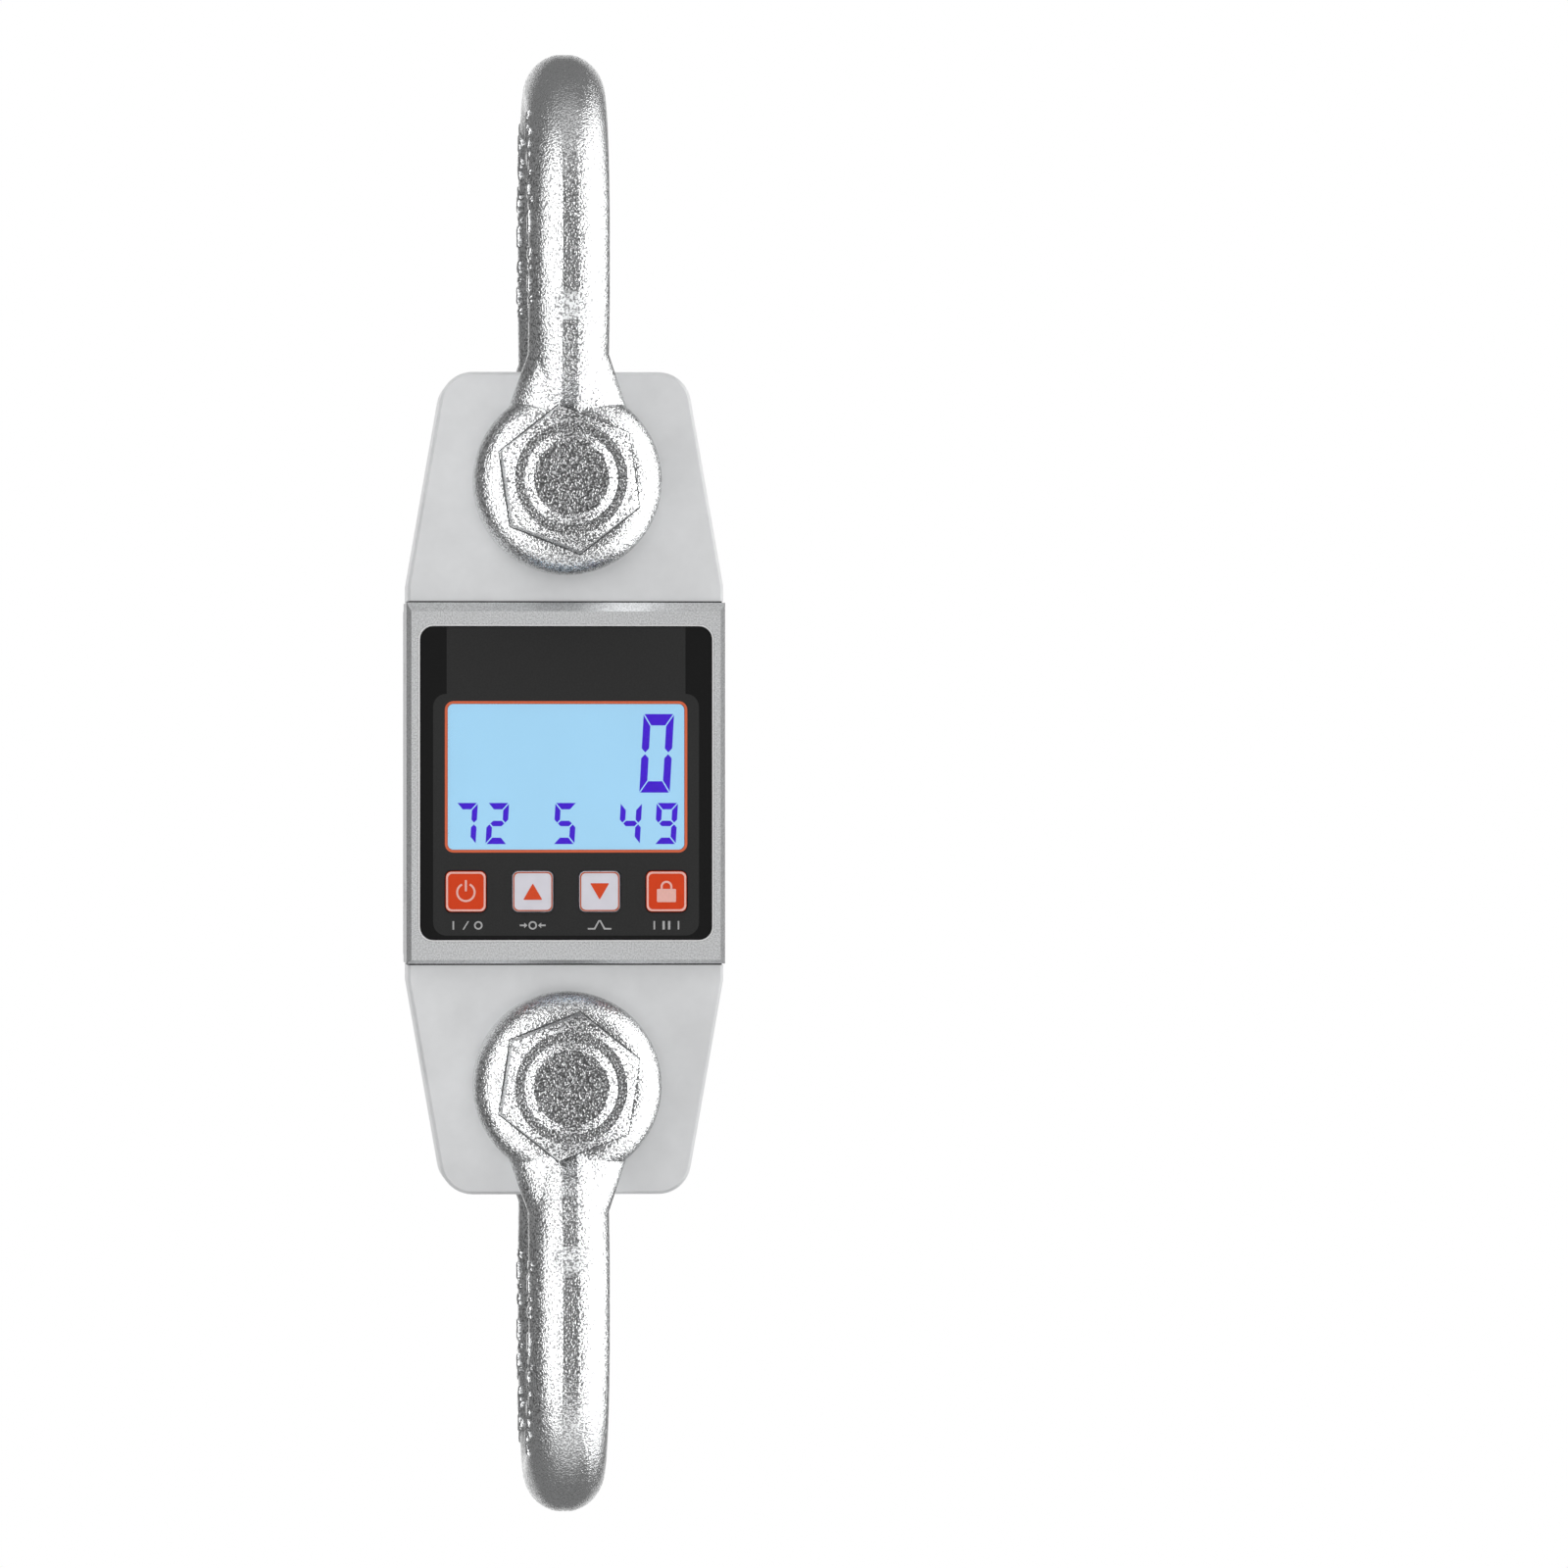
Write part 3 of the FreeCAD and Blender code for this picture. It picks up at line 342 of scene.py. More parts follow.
def follow(tree, shader, pattern, tones=(), glow=(), roughness=(), between=(0, 1), relief=()):
    """Let the shader follow a pattern: colour and glow through colour stops, roughness while
    the pattern goes between two values, and relief as a strength and a depth in mm."""
    for socket, stops in (("Base Color", tones), ("Emission Color", glow)):
        if stops:
            tone = add(tree, "ValToRGB", {"stops": stops}, {"Fac": pattern})
            tree.links.new(tone.outputs["Color"], shader.inputs[socket])
    if roughness:
        span = {"From Min": between[0], "From Max": between[1]}
        span |= {"To Min": roughness[0], "To Max": roughness[1]}
        rough = add(tree, "MapRange", span, {"Value": pattern})
        tree.links.new(rough.outputs[0], shader.inputs["Roughness"])
    if relief:
        depth = {"Strength": relief[0], "Distance": relief[1] * MM}
        bump = add(tree, "Bump", depth, {"Height": pattern})
        tree.links.new(bump.outputs["Normal"], shader.inputs["Normal"])


def grained(name, settings, width, noise, **looks):
    """A finish that follows one grain, of that width in millimetres."""
    material, tree, shader, place = new_material(name, settings)
    scale = {"Scale": grain(width)}
    pattern = add(tree, "TexNoise", scale | noise, {"Vector": place})
    follow(tree, shader, pattern, **looks)
    return material


def galvanised_forging():
    """Hot-dip galvanised forged steel: coarse bright grain on a slightly wavy forging, which
    sparkles where it is dark and burns out where it meets a light."""
    zinc = bpy.context.scene.scale_finish.zinc
    material, tree, shader, place = new_material("galvanised_forging", METAL)
    # Real frost grain is about 0.3 mm; it is drawn at 0.62 mm so that it shows.
    coarse = {"Scale": grain(0.62), "Detail": 1.0, "Roughness": 0.8}
    frost = add(tree, "TexNoise", coarse, {"Vector": place})
    stops = shares(zinc, (0.42, 0.32), (0.48, 0.78), (0.53, 1.0))
    tone = add(tree, "ValToRGB", {"stops": stops}, {"Fac": frost})
    span = {"From Min": 0.35, "From Max": 0.6, "To Min": 0.3, "To Max": 0.14}
    rough = add(tree, "MapRange", span, {"Value": frost})
    # How far each point is from the plate's middle, and from the bow's middle
    parts = add(tree, "SeparateXYZ", links={"Vector": place}).outputs
    middle = {"operation": "SUBTRACT", 1: PLATE.z}
    offset = add(tree, "Math", middle, {0: parts["Z"]})
    away = add(tree, "Math", {"operation": "ABSOLUTE"}, {0: offset})
    aside = add(tree, "Math", {"operation": "ABSOLUTE"}, {0: parts["X"]})
    # Over the crown the zinc has run thicker and set to an even grey.
    low, high = (PIN_HEIGHT + height for height in THICK_ZINC)
    rise = {"From Min": low, "From Max": high, "To Max": 0.75}
    thick = add(tree, "MapRange", rise, {"Value": away})
    grey = {"data_type": "RGBA", 7: rgba(zinc, 0.8)}
    even = add(tree, "Mix", grey, {0: thick, 6: tone})
    tree.links.new(even.outputs[2], shader.inputs["Base Color"])
    # Where each leg bends, the trimming press has dressed the zinc to a duller, paler band.
    low, high = (PIN_HEIGHT + height for height in DRESSED_BAND)
    band = {"From Min": low, "From Max": high}
    above_pin = add(tree, "MapRange", band, {"Value": away})
    stops = [(0.0, BLACK), (0.06, WHITE), (0.55, WHITE), (1.0, BLACK)]
    dressed = add(tree, "ValToRGB", {"stops": stops}, {"Fac": above_pin})
    far, near = DRESSED_SIDE
    flank = {"From Min": far, "From Max": near, "To Max": DRESSED_ROUGHNESS}
    near_flat = add(tree, "MapRange", flank, {"Value": aside})
    both = {0: dressed, 1: near_flat}
    dull = add(tree, "Math", {"operation": "MULTIPLY"}, both)
    duller = add(tree, "Math", {"operation": "MAXIMUM"}, {0: rough, 1: dull})
    tree.links.new(duller.outputs[0], shader.inputs["Roughness"])
    broad = {"Scale": grain(12.0), "Detail": 1.0}
    hammered = add(tree, "TexNoise", broad, {"Vector": place})
    shallow = {"Strength": 0.4, "Distance": 0.2 * MM}
    wave = add(tree, "Bump", shallow, {"Height": hammered})
    deep = {"Strength": 1.0, "Distance": 0.23 * MM}
    bump = add(tree, "Bump", deep, {"Height": frost, "Normal": wave})
    tree.links.new(bump.outputs["Normal"], shader.inputs["Normal"])
    return material


def zinc_plated_bolt():
    """Zinc-plated bolt steel: the bows' grain, a little finer and with more contrast."""
    zinc = bpy.context.scene.scale_finish.zinc
    # Real frost grain is about 0.25 mm; it is drawn at 0.56 mm so that it shows.
    return grained(
        "zinc_plated_bolt",
        METAL,
        0.56,
        {"Detail": 1.0, "Roughness": 0.8},
        tones=shares(zinc, (0.42, 0.13), (0.49, 0.55), (0.56, 1.0)),
        roughness=(0.34, 0.16),
        between=(0.35, 0.6),
        relief=(1.0, 0.22),
    )


def painted_shadow_zinc():
    """Painted shadow: dark, rough, slightly blotched zinc that stands for the shade in the gap
    round the foot of a bolt's head.
    """
    tones = codes((0.35, "4A4B4C"), (0.65, "7C7D7E"))
    return grained(
        "painted_shadow_zinc", METAL, 0.6, {"Detail": 2.0}, tones=tones, roughness=(0.55, 0.75)
    )


def satin_anodised_plate():
    """Machined and anodised aluminium plate: an even satin grey with faint clouds and a very
    fine grain along the plate."""
    plate = bpy.context.scene.scale_finish.plate
    material, tree, shader, place = new_material("satin_anodised_plate", {"Metallic": 0.75})
    broad = {"Scale": grain(22.0), "Detail": 4.0, "Roughness": 0.6}
    cloud = add(tree, "TexNoise", broad, {"Vector": place})
    tones = shares(plate, (0.3, 0.88), (0.7, 1.0))
    follow(tree, shader, cloud, tones=tones, roughness=(0.4, 0.46), between=(0.3, 0.7))
    # Real lines are about 0.1 mm apart; they are drawn at 0.5 mm so that they show.
    stretch = add(tree, "Mapping", {"Scale": (1.0, 1.0, 0.06)}, {"Vector": place})
    fine = {"Scale": grain(0.5), "Detail": 2.0}
    lines = add(tree, "TexNoise", fine, {"Vector": stretch})
    follow(tree, shader, lines, relief=(0.12, 0.05))
    return material


def bead_blasted_aluminium():
    """Bead-blasted, clear-anodised aluminium: tiny craters scatter the light evenly."""
    # Real craters are about 0.1 mm; they are drawn at 0.4 mm so that they show.
    return grained(
        "bead_blasted_aluminium",
        METAL | {"Roughness": 0.42},
        0.4,
        {"Detail": 1.0, "Roughness": 0.7},
        tones=shares(bpy.context.scene.scale_finish.housing, (0.38, 0.72), (0.6, 1.0)),
        relief=(0.55, 0.08),
    )


def painted_edge_highlight():
    """Painted highlight: a brighter, smoother aluminium band that stands for the light caught on
    the chamfer round the panel's opening.
    """
    tones = codes((0.3, "F0F0F0"), (0.7, "FCFCFC"))
    return grained(
        "painted_edge_highlight", METAL, 0.8, {"Detail": 2.0}, tones=tones, roughness=(0.4, 0.55)
    )


def polyester_film(name, tone):
    """Reverse-printed polyester film with a velvet texture."""
    # The real texture is about 0.05 mm; it is drawn at 0.45 mm so that it shows.
    return grained(
        name,
        {"Roughness": 0.25, "IOR": 1.57, "Specular IOR Level": 0.2},
        0.45,
        {"Detail": 2.0},
        tones=shares(tone, (0.3, 0.92), (0.7, 1.08)),
        relief=(0.15, 0.03),
    )


def clear_acrylic():
    """Cast acrylic window with a hard coat: clear, with only a thin reflection on it."""
    clear = {"Transmission Weight": 1.0, "IOR": 1.49}
    return grained("clear_acrylic", clear, 9.0, {"Detail": 2.0}, roughness=(0.02, 0.06))


def lit_screen():
    """Liquid crystal glass over a light guide: an even glow that drifts a little across it."""
    screen = bpy.context.scene.scale_finish.screen
    return grained(
        "lit_screen",
        {"Roughness": 0.3, "Emission Strength": 1.12, "IOR": 1.52},
        30.0,
        {"Detail": 1.0},
        tones=shares(screen, (0.2, 0.3), (0.8, 0.34)),
        glow=shares(screen, (0.2, 0.97), (0.8, 1.0)),
    )


def segment_ink():
    """Energised liquid crystal: a saturated violet-blue that still lets some light through."""
    segment = bpy.context.scene.scale_finish.segment
    return grained(
        "segment_ink",
        {"Roughness": 0.35, "Emission Strength": 1.2, "Specular IOR Level": 0.1},
        3.0,
        {"Detail": 1.0},
        tones=shares(segment, (0.3, 0.03), (0.7, 0.05)),
        glow=shares(segment, (0.3, 0.9), (0.7, 1.0)),
    )


def printed_ink(name, tone):
    """Screen-printed ink: flat colour with a faint mottle where the mesh laid it down."""
    # The real mesh is about 0.1 mm; its mottle is drawn at 0.5 mm so that it shows.
    return grained(
        name,
        {"Roughness": 0.4, "IOR": 1.5},
        0.5,
        {"Detail": 2.0},
        tones=shares(tone, (0.3, 0.93), (0.7, 1.0)),
        relief=(0.1, 0.02),
    )


def moulded_key(name, tone):
    """Moulded polycarbonate key cap with a soft lacquer: smooth and a little glossy."""
    lacquer = {"Coat Weight": 0.08, "Coat Roughness": 0.2}
    plastic = {"IOR": 1.58, "Specular IOR Level": 0.3}
    material, tree, shader, place = new_material(name, plastic | lacquer)
    broad = {"Scale": grain(4.0), "Detail": 2.0}
    cloud = add(tree, "TexNoise", broad, {"Vector": place})
    follow(tree, shader, cloud, tones=shares(tone, (0.3, 0.95), (0.7, 1.0)))
    # The lacquer's real ripple is about 0.1 mm; it is drawn at 0.35 mm so that it shows.
    fine = {"Scale": grain(0.35), "Detail": 1.0}
    skin = add(tree, "TexNoise", fine, {"Vector": place})
    follow(tree, shader, skin, roughness=(0.3, 0.42), relief=(0.08, 0.02))
    return material


def turned_stainless():
    """Stainless machine screws: bright, with fine scratches from the tumbling barrel."""
    # Real scratches are about 0.05 mm wide; they are drawn at 0.3 mm so that they show.
    return grained(
        "turned_stainless",
        METAL,
        0.3,
        {"Detail": 3.0, "Distortion": 1.5},
        tones=codes((0.3, "A9ABAE"), (0.7, "D2D3D5")),
        roughness=(0.2, 0.38),
        relief=(0.2, 0.03),
    )


def silicone_rubber():
    """Moulded silicone seal: matt near-black with a soft sheen and a trace of dust."""
    return grained(
        "silicone_rubber",
        {"IOR": 1.41, "Sheen Weight": 0.2, "Sheen Roughness": 0.5},
        1.5,
        {"Detail": 4.0},
        tones=codes((0.35, "161617"), (0.75, "2A2A2B")),
        roughness=(0.6, 0.8),
    )


def solder_mask():
    """Glass-epoxy board under green solder mask: copper tracks show as paler lines."""
    material, tree, shader, place = new_material("solder_mask", {"Roughness": 0.28, "IOR": 1.55})
    upright = {"Rotation": (radians(90), 0.0, 0.0)}
    flat = add(tree, "Mapping", upright, {"Vector": place})
    layout = {"Color1": linear("0E5A2C"), "Color2": linear("0B4A25")}
    layout |= {"Mortar": linear("3B8F55"), "Mortar Size": 0.18 * MM}
    layout |= {"Scale": 1.0, "Brick Width": 7.0 * MM, "Row Height": 1.4 * MM}
    tracks = add(tree, "TexBrick", layout, {"Vector": flat})
    tree.links.new(tracks.outputs["Color"], shader.inputs["Base Color"])
    follow(tree, shader, tracks.outputs["Fac"], relief=(0.3, 0.03))
    return material


def speckled_plastic(name, dark, light, width, roughness):
    """A moulded or wrapped plastic: an even tone with a fine speckle."""
    return grained(
        name,
        {"IOR": 1.5},
        width,
        {"Detail": 3.0},
        tones=codes((0.3, dark), (0.7, light)),
        roughness=roughness,
        relief=(0.2, 0.04),
    )


def polyimide_gauge():
    """Strain gauge: a folded foil grid under amber polyimide, seen as fine parallel lines."""
    film = {"Roughness": 0.25, "IOR": 1.7}
    material, tree, shader, place = new_material("polyimide_gauge", film)
    # One band of a wave is a twentieth of its scale wide.
    bands = {"bands_direction": "X", "Scale": grain(0.5) / 20, "Distortion": 0.0}
    grid = add(tree, "TexWave", bands, {"Vector": place})
    follow(tree, shader, grid.outputs["Fac"], tones=codes((0.35, "A8661B"), (0.65, "D9A35A")))
    return material


def nickel_plate():
    """Nickel-plated spring steel contacts: warm and bright with slight staining."""
    tones = codes((0.3, "B7B09F"), (0.7, "DAD5C8"))
    return grained(
        "nickel_plate", METAL, 2.0, {"Detail": 4.0}, tones=tones, roughness=(0.15, 0.35)
    )


def paint(material, *names):
    """Give the named CAD nodes the material in every slot they have."""
    for name in names:
        for slot in NODES[name].material_slots:
            slot.material = material


# -------- flat printed shapes


def rounded(corners, radius):
    """The outline through (x, z) corners, each rounded by the radius."""
    points = []
    for i, corner in enumerate(corners):
        here = Vector(corner)
        back = (Vector(corners[i - 1]) - here).normalized()
        ahead = (Vector(corners[(i + 1) % len(corners)]) - here).normalized()
        half = back.angle(ahead) / 2
        reach = radius / tan(half)
        middle = here + (back + ahead).normalized() * (radius / sin(half))
        start = here + back * reach - middle
        turn = start.angle_signed(here + ahead * reach - middle)
        for step in range(CORNER_STEPS + 1):
            swing = -turn * step / CORNER_STEPS
            x = start.x * cos(swing) - start.y * sin(swing)
            z = start.x * sin(swing) + start.y * cos(swing)
            points.append(middle + Vector((x, z)))
    return points


def block(x, z, width, height, radius=0.0):
    """A rectangle about (x, z), its corners rounded if a radius is given."""
    signs = ((-1, -1), (1, -1), (1, 1), (-1, 1))
    corners = [(x + i * width / 2, z + j * height / 2) for i, j in signs]
    return rounded(corners, radius) if radius else corners


def spread(middle, size, corner, out):
    """A rounded rectangle of that size and corner, grown by a distance on every side."""
    return block(middle.x, middle.z, size.x + 2 * out, size.z + 2 * out, corner + out)


def moved(shapes, x, z):
    return [[(px + x, pz + z) for px, pz in shape] for shape in shapes]


def circle(x, z, radius, steps=48, turn=0.0):
    turns = [turn + tau * i / steps for i in range(steps)]
    return [(x + radius * cos(a), z + radius * sin(a)) for a in turns]


def arc_band(z, radius, stroke, start, end, steps=28):
    """Part of a ring about (0, z), between two angles in degrees from +X towards +Z."""
    angles = [radians(start + (end - start) * i / steps) for i in range(steps + 1)]
    radii = (radius, radius - stroke)
    outer, inner = ([(r * cos(a), z + r * sin(a)) for a in angles] for r in radii)
    return outer + inner[::-1]


def printed(name, outlines, y_face, thickness, material, body="scale"):
    """A thin raised shape on the face at y_face, standing out towards the front. Outlines
    inside another outline are its holes."""
    curve = bpy.data.curves.new(name, "CURVE")
    curve.dimensions = "2D"
    curve.fill_mode = "BOTH"
    curve.extrude = thickness / 2
    for outline in outlines:
        spline = curve.splines.new("POLY")
        spline.points.add(len(outline) - 1)
        for point, (x, z) in zip(spline.points, outline):
            point.co = (x, z, 0.0, 1.0)
        spline.use_cyclic_u = True
    drawn = bpy.data.objects.new(name, curve)
    mesh = bpy.data.meshes.new_from_object(drawn)
    bpy.data.objects.remove(drawn)
    bpy.data.curves.remove(curve)
    mesh.name = name
    middle = y_face - thickness / 2
    for vertex in mesh.vertices:
        x, z, out = vertex.co
        vertex.co = (x, middle - out, z)
    return place_piece(name, mesh, material, body)


def place_piece(name, mesh, material, body):
    """Put a mesh in the scene as a piece on the body."""
    mesh.materials.clear()
    mesh.materials.append(material)
    piece = bpy.data.objects.new(name, mesh)
    bpy.context.scene.collection.objects.link(piece)
    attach(piece, body)
    return piece


# -------- pieces


class SCALE_OT_finish_shackles(Operator):
    """Galvanise the bows and plate their bolts, nuts and split pins"""

    bl_idname = "scale.finish_shackles"
    bl_label = "Finish Shackles"

    def execute(self, context):
        paint(galvanised_forging(), "upper_bow", "lower_bow")
        bolts = [f"{end}_{part}" for end in ("upper", "lower") for part in ("bolt", "nut")]
        paint(zinc_plated_bolt(), *bolts)
        steel = turned_stainless()
        paint(steel, "upper_split_pin", "lower_split_pin", "side_screws")
        paint(steel, "cover_screws", "door_screws", "board_screws")
        return {"FINISHED"}


class SCALE_OT_finish_casings(Operator):
    """Anodise the plate and blast the housing, its cover and the battery door"""

    bl_idname = "scale.finish_casings"
    bl_label = "Finish Plate And Housing"

    def execute(self, context):
        paint(satin_anodised_plate(), "load_cell_body")
        paint(bead_blasted_aluminium(), "front_housing", "rear_cover", "battery_door")
        paint(silicone_rubber(), "front_gasket", "rear_gasket", "door_gasket")
        return {"FINISHED"}


class SCALE_OT_finish_front(Operator):
    """Colour the front panel, the window, the screen and the keys"""

    bl_idname = "scale.finish_front"
    bl_label = "Finish Front"

    def execute(self, context):
        colours = context.scene.scale_finish
        paint(polyester_film("polyester_film", colours.panel), "overlay_panel")
        paint(clear_acrylic(), "display_window")
        paint(lit_screen(), "display_glass")
        guide = speckled_plastic("light_guide", "C9D0D8", "E6EAEE", 1.0, (0.2, 0.3))
        paint(guide, "display_backlight")
        paint(moulded_key("moulded_key_orange", colours.orange), "key_power", "key_lock")
        paint(moulded_key("moulded_key_white", colours.key_white), "key_up", "key_down")
        return {"FINISHED"}


class SCALE_OT_finish_inside(Operator):
    """Finish the electronics, the wires, the gauges and the batteries inside"""

    bl_idname = "scale.finish_inside"
    bl_label = "Finish Inside"

    def execute(self, context):
        paint(solder_mask(), "main_board")
        epoxy = speckled_plastic("moulded_epoxy", "141414", "262626", 0.4, (0.45, 0.6))
        paint(epoxy, "board_components", "key_switches")
        paint(polyimide_gauge(), "strain_gauges")
        sleeve = speckled_plastic("pvc_sleeve", "8E1010", "B01616", 1.5, (0.3, 0.4))
        paint(sleeve, "gauge_leads", "supply_wires")
        tray = speckled_plastic("moulded_abs_tray", "1A1A1B", "2B2B2C", 0.5, (0.45, 0.6))
        paint(tray, "battery_tray")
        wrap = speckled_plastic("shrink_wrap", "1C3A55", "27506F", 6.0, (0.22, 0.3))
        paint(wrap, "battery_cells")
        paint(nickel_plate(), "battery_contacts")
        return {"FINISHED"}


class SCALE_OT_print_panel(Operator):
    """Print the lighter field and the orange line round the window"""

    bl_idname = "scale.print_panel"
    bl_label = "Print Panel"

    def execute(self, context):
        colours = context.scene.scale_finish
        sizes = context.scene.scale_display
        ink = context.scene.scale_keys.print_thickness
        film = polyester_film("polyester_film_field", colours.panel_field)
        corner = WINDOW_CORNER - FIELD_CLEARANCE
        window = spread(WINDOW, WINDOW_SIZE, corner, FIELD_CLEARANCE)
        keys = [spread(centre_of(key), KEY_FACE, KEY_CORNER, KEY_ROOM) for key in KEYS]
        field = [self.field(), window, *keys]
        printed("panel_field", field, PANEL_FRONT, ink, film)
        line = printed_ink("orange_line_ink", colours.line_ink)
        outer = spread(WINDOW, WINDOW_SIZE, WINDOW_CORNER, sizes.border)
        printed("window_line", [outer, window], PANEL_FRONT - ink, ink, line)
        return {"FINISHED"}

    def field(self):
        """A strip down from the panel's top that widens round the window and keys."""
        panel_top = PANEL.z + PANEL_SIZE.z / 2 - FIELD_MARGIN
        top = PLATE.z + FIELD_TOP
        bottom = PLATE.z + FIELD_BOTTOM
        side = FIELD_HALF_WIDTH
        corners = [(-side, bottom), (side, bottom), (side, top), (-side, top)]
        wide = rounded(corners, FIELD_CORNER)
        three_corners = 3 * len(wide) // 4
        strip = [(FIELD_STRIP, top), (FIELD_STRIP, panel_top)]
        strip += [(-FIELD_STRIP, panel_top), (-FIELD_STRIP, top)]
        return [*wide[:three_corners], *strip, *wide[three_corners:]]


def segment_shapes(width, height, bar, post, gap):
    """The outlines of a seven-segment digit about its own middle: a to f clockwise from the
    top, and g across the middle."""
    x, z = width / 2, height / 2
    inside = x - post - gap
    half_bar = bar * 0.42
    tip = post * 0.55
    top = [(-x + gap, z), (x - gap, z), (inside, z - bar), (-inside, z - bar)]
    right = [(x, z - gap), (x, gap + tip), (x - post / 2, gap)]
    right += [(x - post, gap + tip), (x - post, z - bar - gap)]
    point = x - post / 2 - gap
    middle = [(-point, 0.0), (-inside, half_bar), (inside, half_bar)]
    middle += [(point, 0.0), (inside, -half_bar), (-inside, -half_bar)]
    return {
        "a": top,
        "b": right,
        "c": [(px, -pz) for px, pz in right],
        "d": [(px, -pz) for px, pz in top],
        "e": [(-px, -pz) for px, pz in right],
        "f": [(-px, pz) for px, pz in right],
        "g": middle,
    }


class SCALE_OT_highlight_opening(Operator):
    """Lay a painted highlight, a bright smooth band, round the panel's opening in the housing"""

    bl_idname = "scale.edge_opening"
    bl_label = "Highlight Opening"

    def execute(self, context):
        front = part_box("front_housing")[0].y
        width = context.scene.scale_display.opening_highlight
        corner = PANEL_CORNER - PANEL_GAP
        edge = [spread(PANEL, PANEL_SIZE, corner, out) for out in (PANEL_GAP + width, PANEL_GAP)]
        printed("opening_highlight", edge, front, EDGE_THICKNESS, painted_edge_highlight())
        return {"FINISHED"}


class SCALE_OT_shade_housing_edges(Operator):
    """Paint a shadow along the housing's upper and lower edges, on the plate: a thin dark rubber
    strip where the gap between them is in shade
    """

    bl_idname = "scale.seal_housing"
    bl_label = "Shade Housing Edges"

    def execute(self, context):
        bead = context.scene.scale_display.bead
        low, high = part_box("front_housing")
        plate_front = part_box("load_cell_body")[0].y
        width = size_of("load_cell_body").x - 2 * bead
        # The gasket's dark rubber paints the shadow in the gap between housing and plate.
        rubber = NODES["front_gasket"].material_slots[0].material
        for end, z in (("upper", high.z + bead / 2), ("lower", low.z - bead / 2)):
            outline = block(PLATE.x, z, width, bead, bead * 0.3)
            name = end + "_edge_shadow_line"
            printed(name, [outline], plate_front, bead * 0.6, rubber)
        return {"FINISHED"}


class SCALE_OT_draw_digits(Operator):
    """Draw the screen's digits as lit liquid crystal segments behind the window"""

    bl_idname = "scale.draw_digits"
    bl_label = "Draw Digits"

    def execute(self, context):
        sizes = context.scene.scale_display
        lean = tan(sizes.slant)
        big = (sizes.big_width, sizes.big_height, *BIG_STROKES)
        small = (sizes.small_width, sizes.small_height, *SMALL_STROKES)
        outlines = []
        for digits, measures in ((BIG_DIGITS, big), (SMALL_DIGITS, small)):
            shapes = segment_shapes(*measures, sizes.segment_gap)
            for digit, x, z in digits:
                parts = [shapes[part] for part in SEGMENTS[digit]]
                slanted = [[(px + pz * lean, pz) for px, pz in part] for part in parts]
                outlines += moved(slanted, x * MM, PLATE.z + z * MM)
        y_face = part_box("display_glass")[0].y - DIGIT_GAP
        ink = segment_ink()
        printed("screen_digits", outlines, y_face, DIGIT_THICKNESS, ink)
        return {"FINISHED"}


class SCALE_OT_print_keys(Operator):
    """Print the rims and marks on the four keys"""

    bl_idname = "scale.print_keys"
    bl_label = "Print Keys"

    def execute(self, context):
        sizes = context.scene.scale_keys
        colours = context.scene.scale_finish
        ink = sizes.print_thickness
        pale = printed_ink("pale_ink", colours.pale_ink)
        brown = printed_ink("burnt_orange_ink", colours.rim_ink)
        orange = printed_ink("orange_key_ink", colours.mark_ink)
        marks = {
            "key_power": (pale, pale, self.power_mark(sizes), sizes.rim),
            "key_up": (brown, orange, [self.arrow(sizes, 1)], THIN_RIM),
            "key_down": (brown, orange, [self.arrow(sizes, -1)], THIN_RIM),
            "key_lock": (pale, pale, self.padlock(sizes), sizes.rim),
        }
        for key, (rim_ink, mark_ink, shapes, rim) in marks.items():
            middle = centre_of(key)
            outer = spread(middle, KEY_FACE, KEY_CORNER, -KEY_EDGE)
            inner = spread(middle, KEY_FACE, KEY_CORNER + rim / 2, -KEY_EDGE - rim)
            body = key + "_cap"
            printed(key + "_rim", [outer, inner], KEY_FRONT, ink, rim_ink, body)
            mark = moved(shapes, middle.x, middle.z)
            printed(key + "_mark", mark, KEY_FRONT, ink, mark_ink, body)
        return {"FINISHED"}

    def power_mark(self, sizes):
        gap = 26  # degrees from the top to either end of the ring
        drop = 0.2 * MM
        bar_height, bar_rise = 3.1 * MM, 1.6 * MM
        stroke = sizes.stroke
        bar = block(0, bar_rise, stroke, bar_height, stroke * 0.4)
        return [arc_band(-drop, sizes.ring / 2, stroke, 90 + gap, 450 - gap), bar]

    def arrow(self, sizes, way):
        half = sizes.arrow / 2
        rise = 2.25 * MM * way
        return rounded([(-half, -rise), (half, -rise), (0, rise)], 0.15 * MM)

    def padlock(self, sizes):
        body_width, body_height, body_drop = 5.2 * MM, 3.6 * MM, 1.1 * MM
        body = block(0, -body_drop, body_width, body_height, 0.3 * MM)
        arch_rise, radius, foot = 1.3 * MM, 1.6 * MM, 0.72 * MM
        over = arc_band(arch_rise, radius, sizes.stroke, 0, 180)
        half = len(over) // 2
        inside = radius - sizes.stroke
        arch = [(radius, foot), *over[:half], (-radius, foot)]
        arch += [(-inside, foot), *over[half:], (inside, foot)]
        return [body, arch]


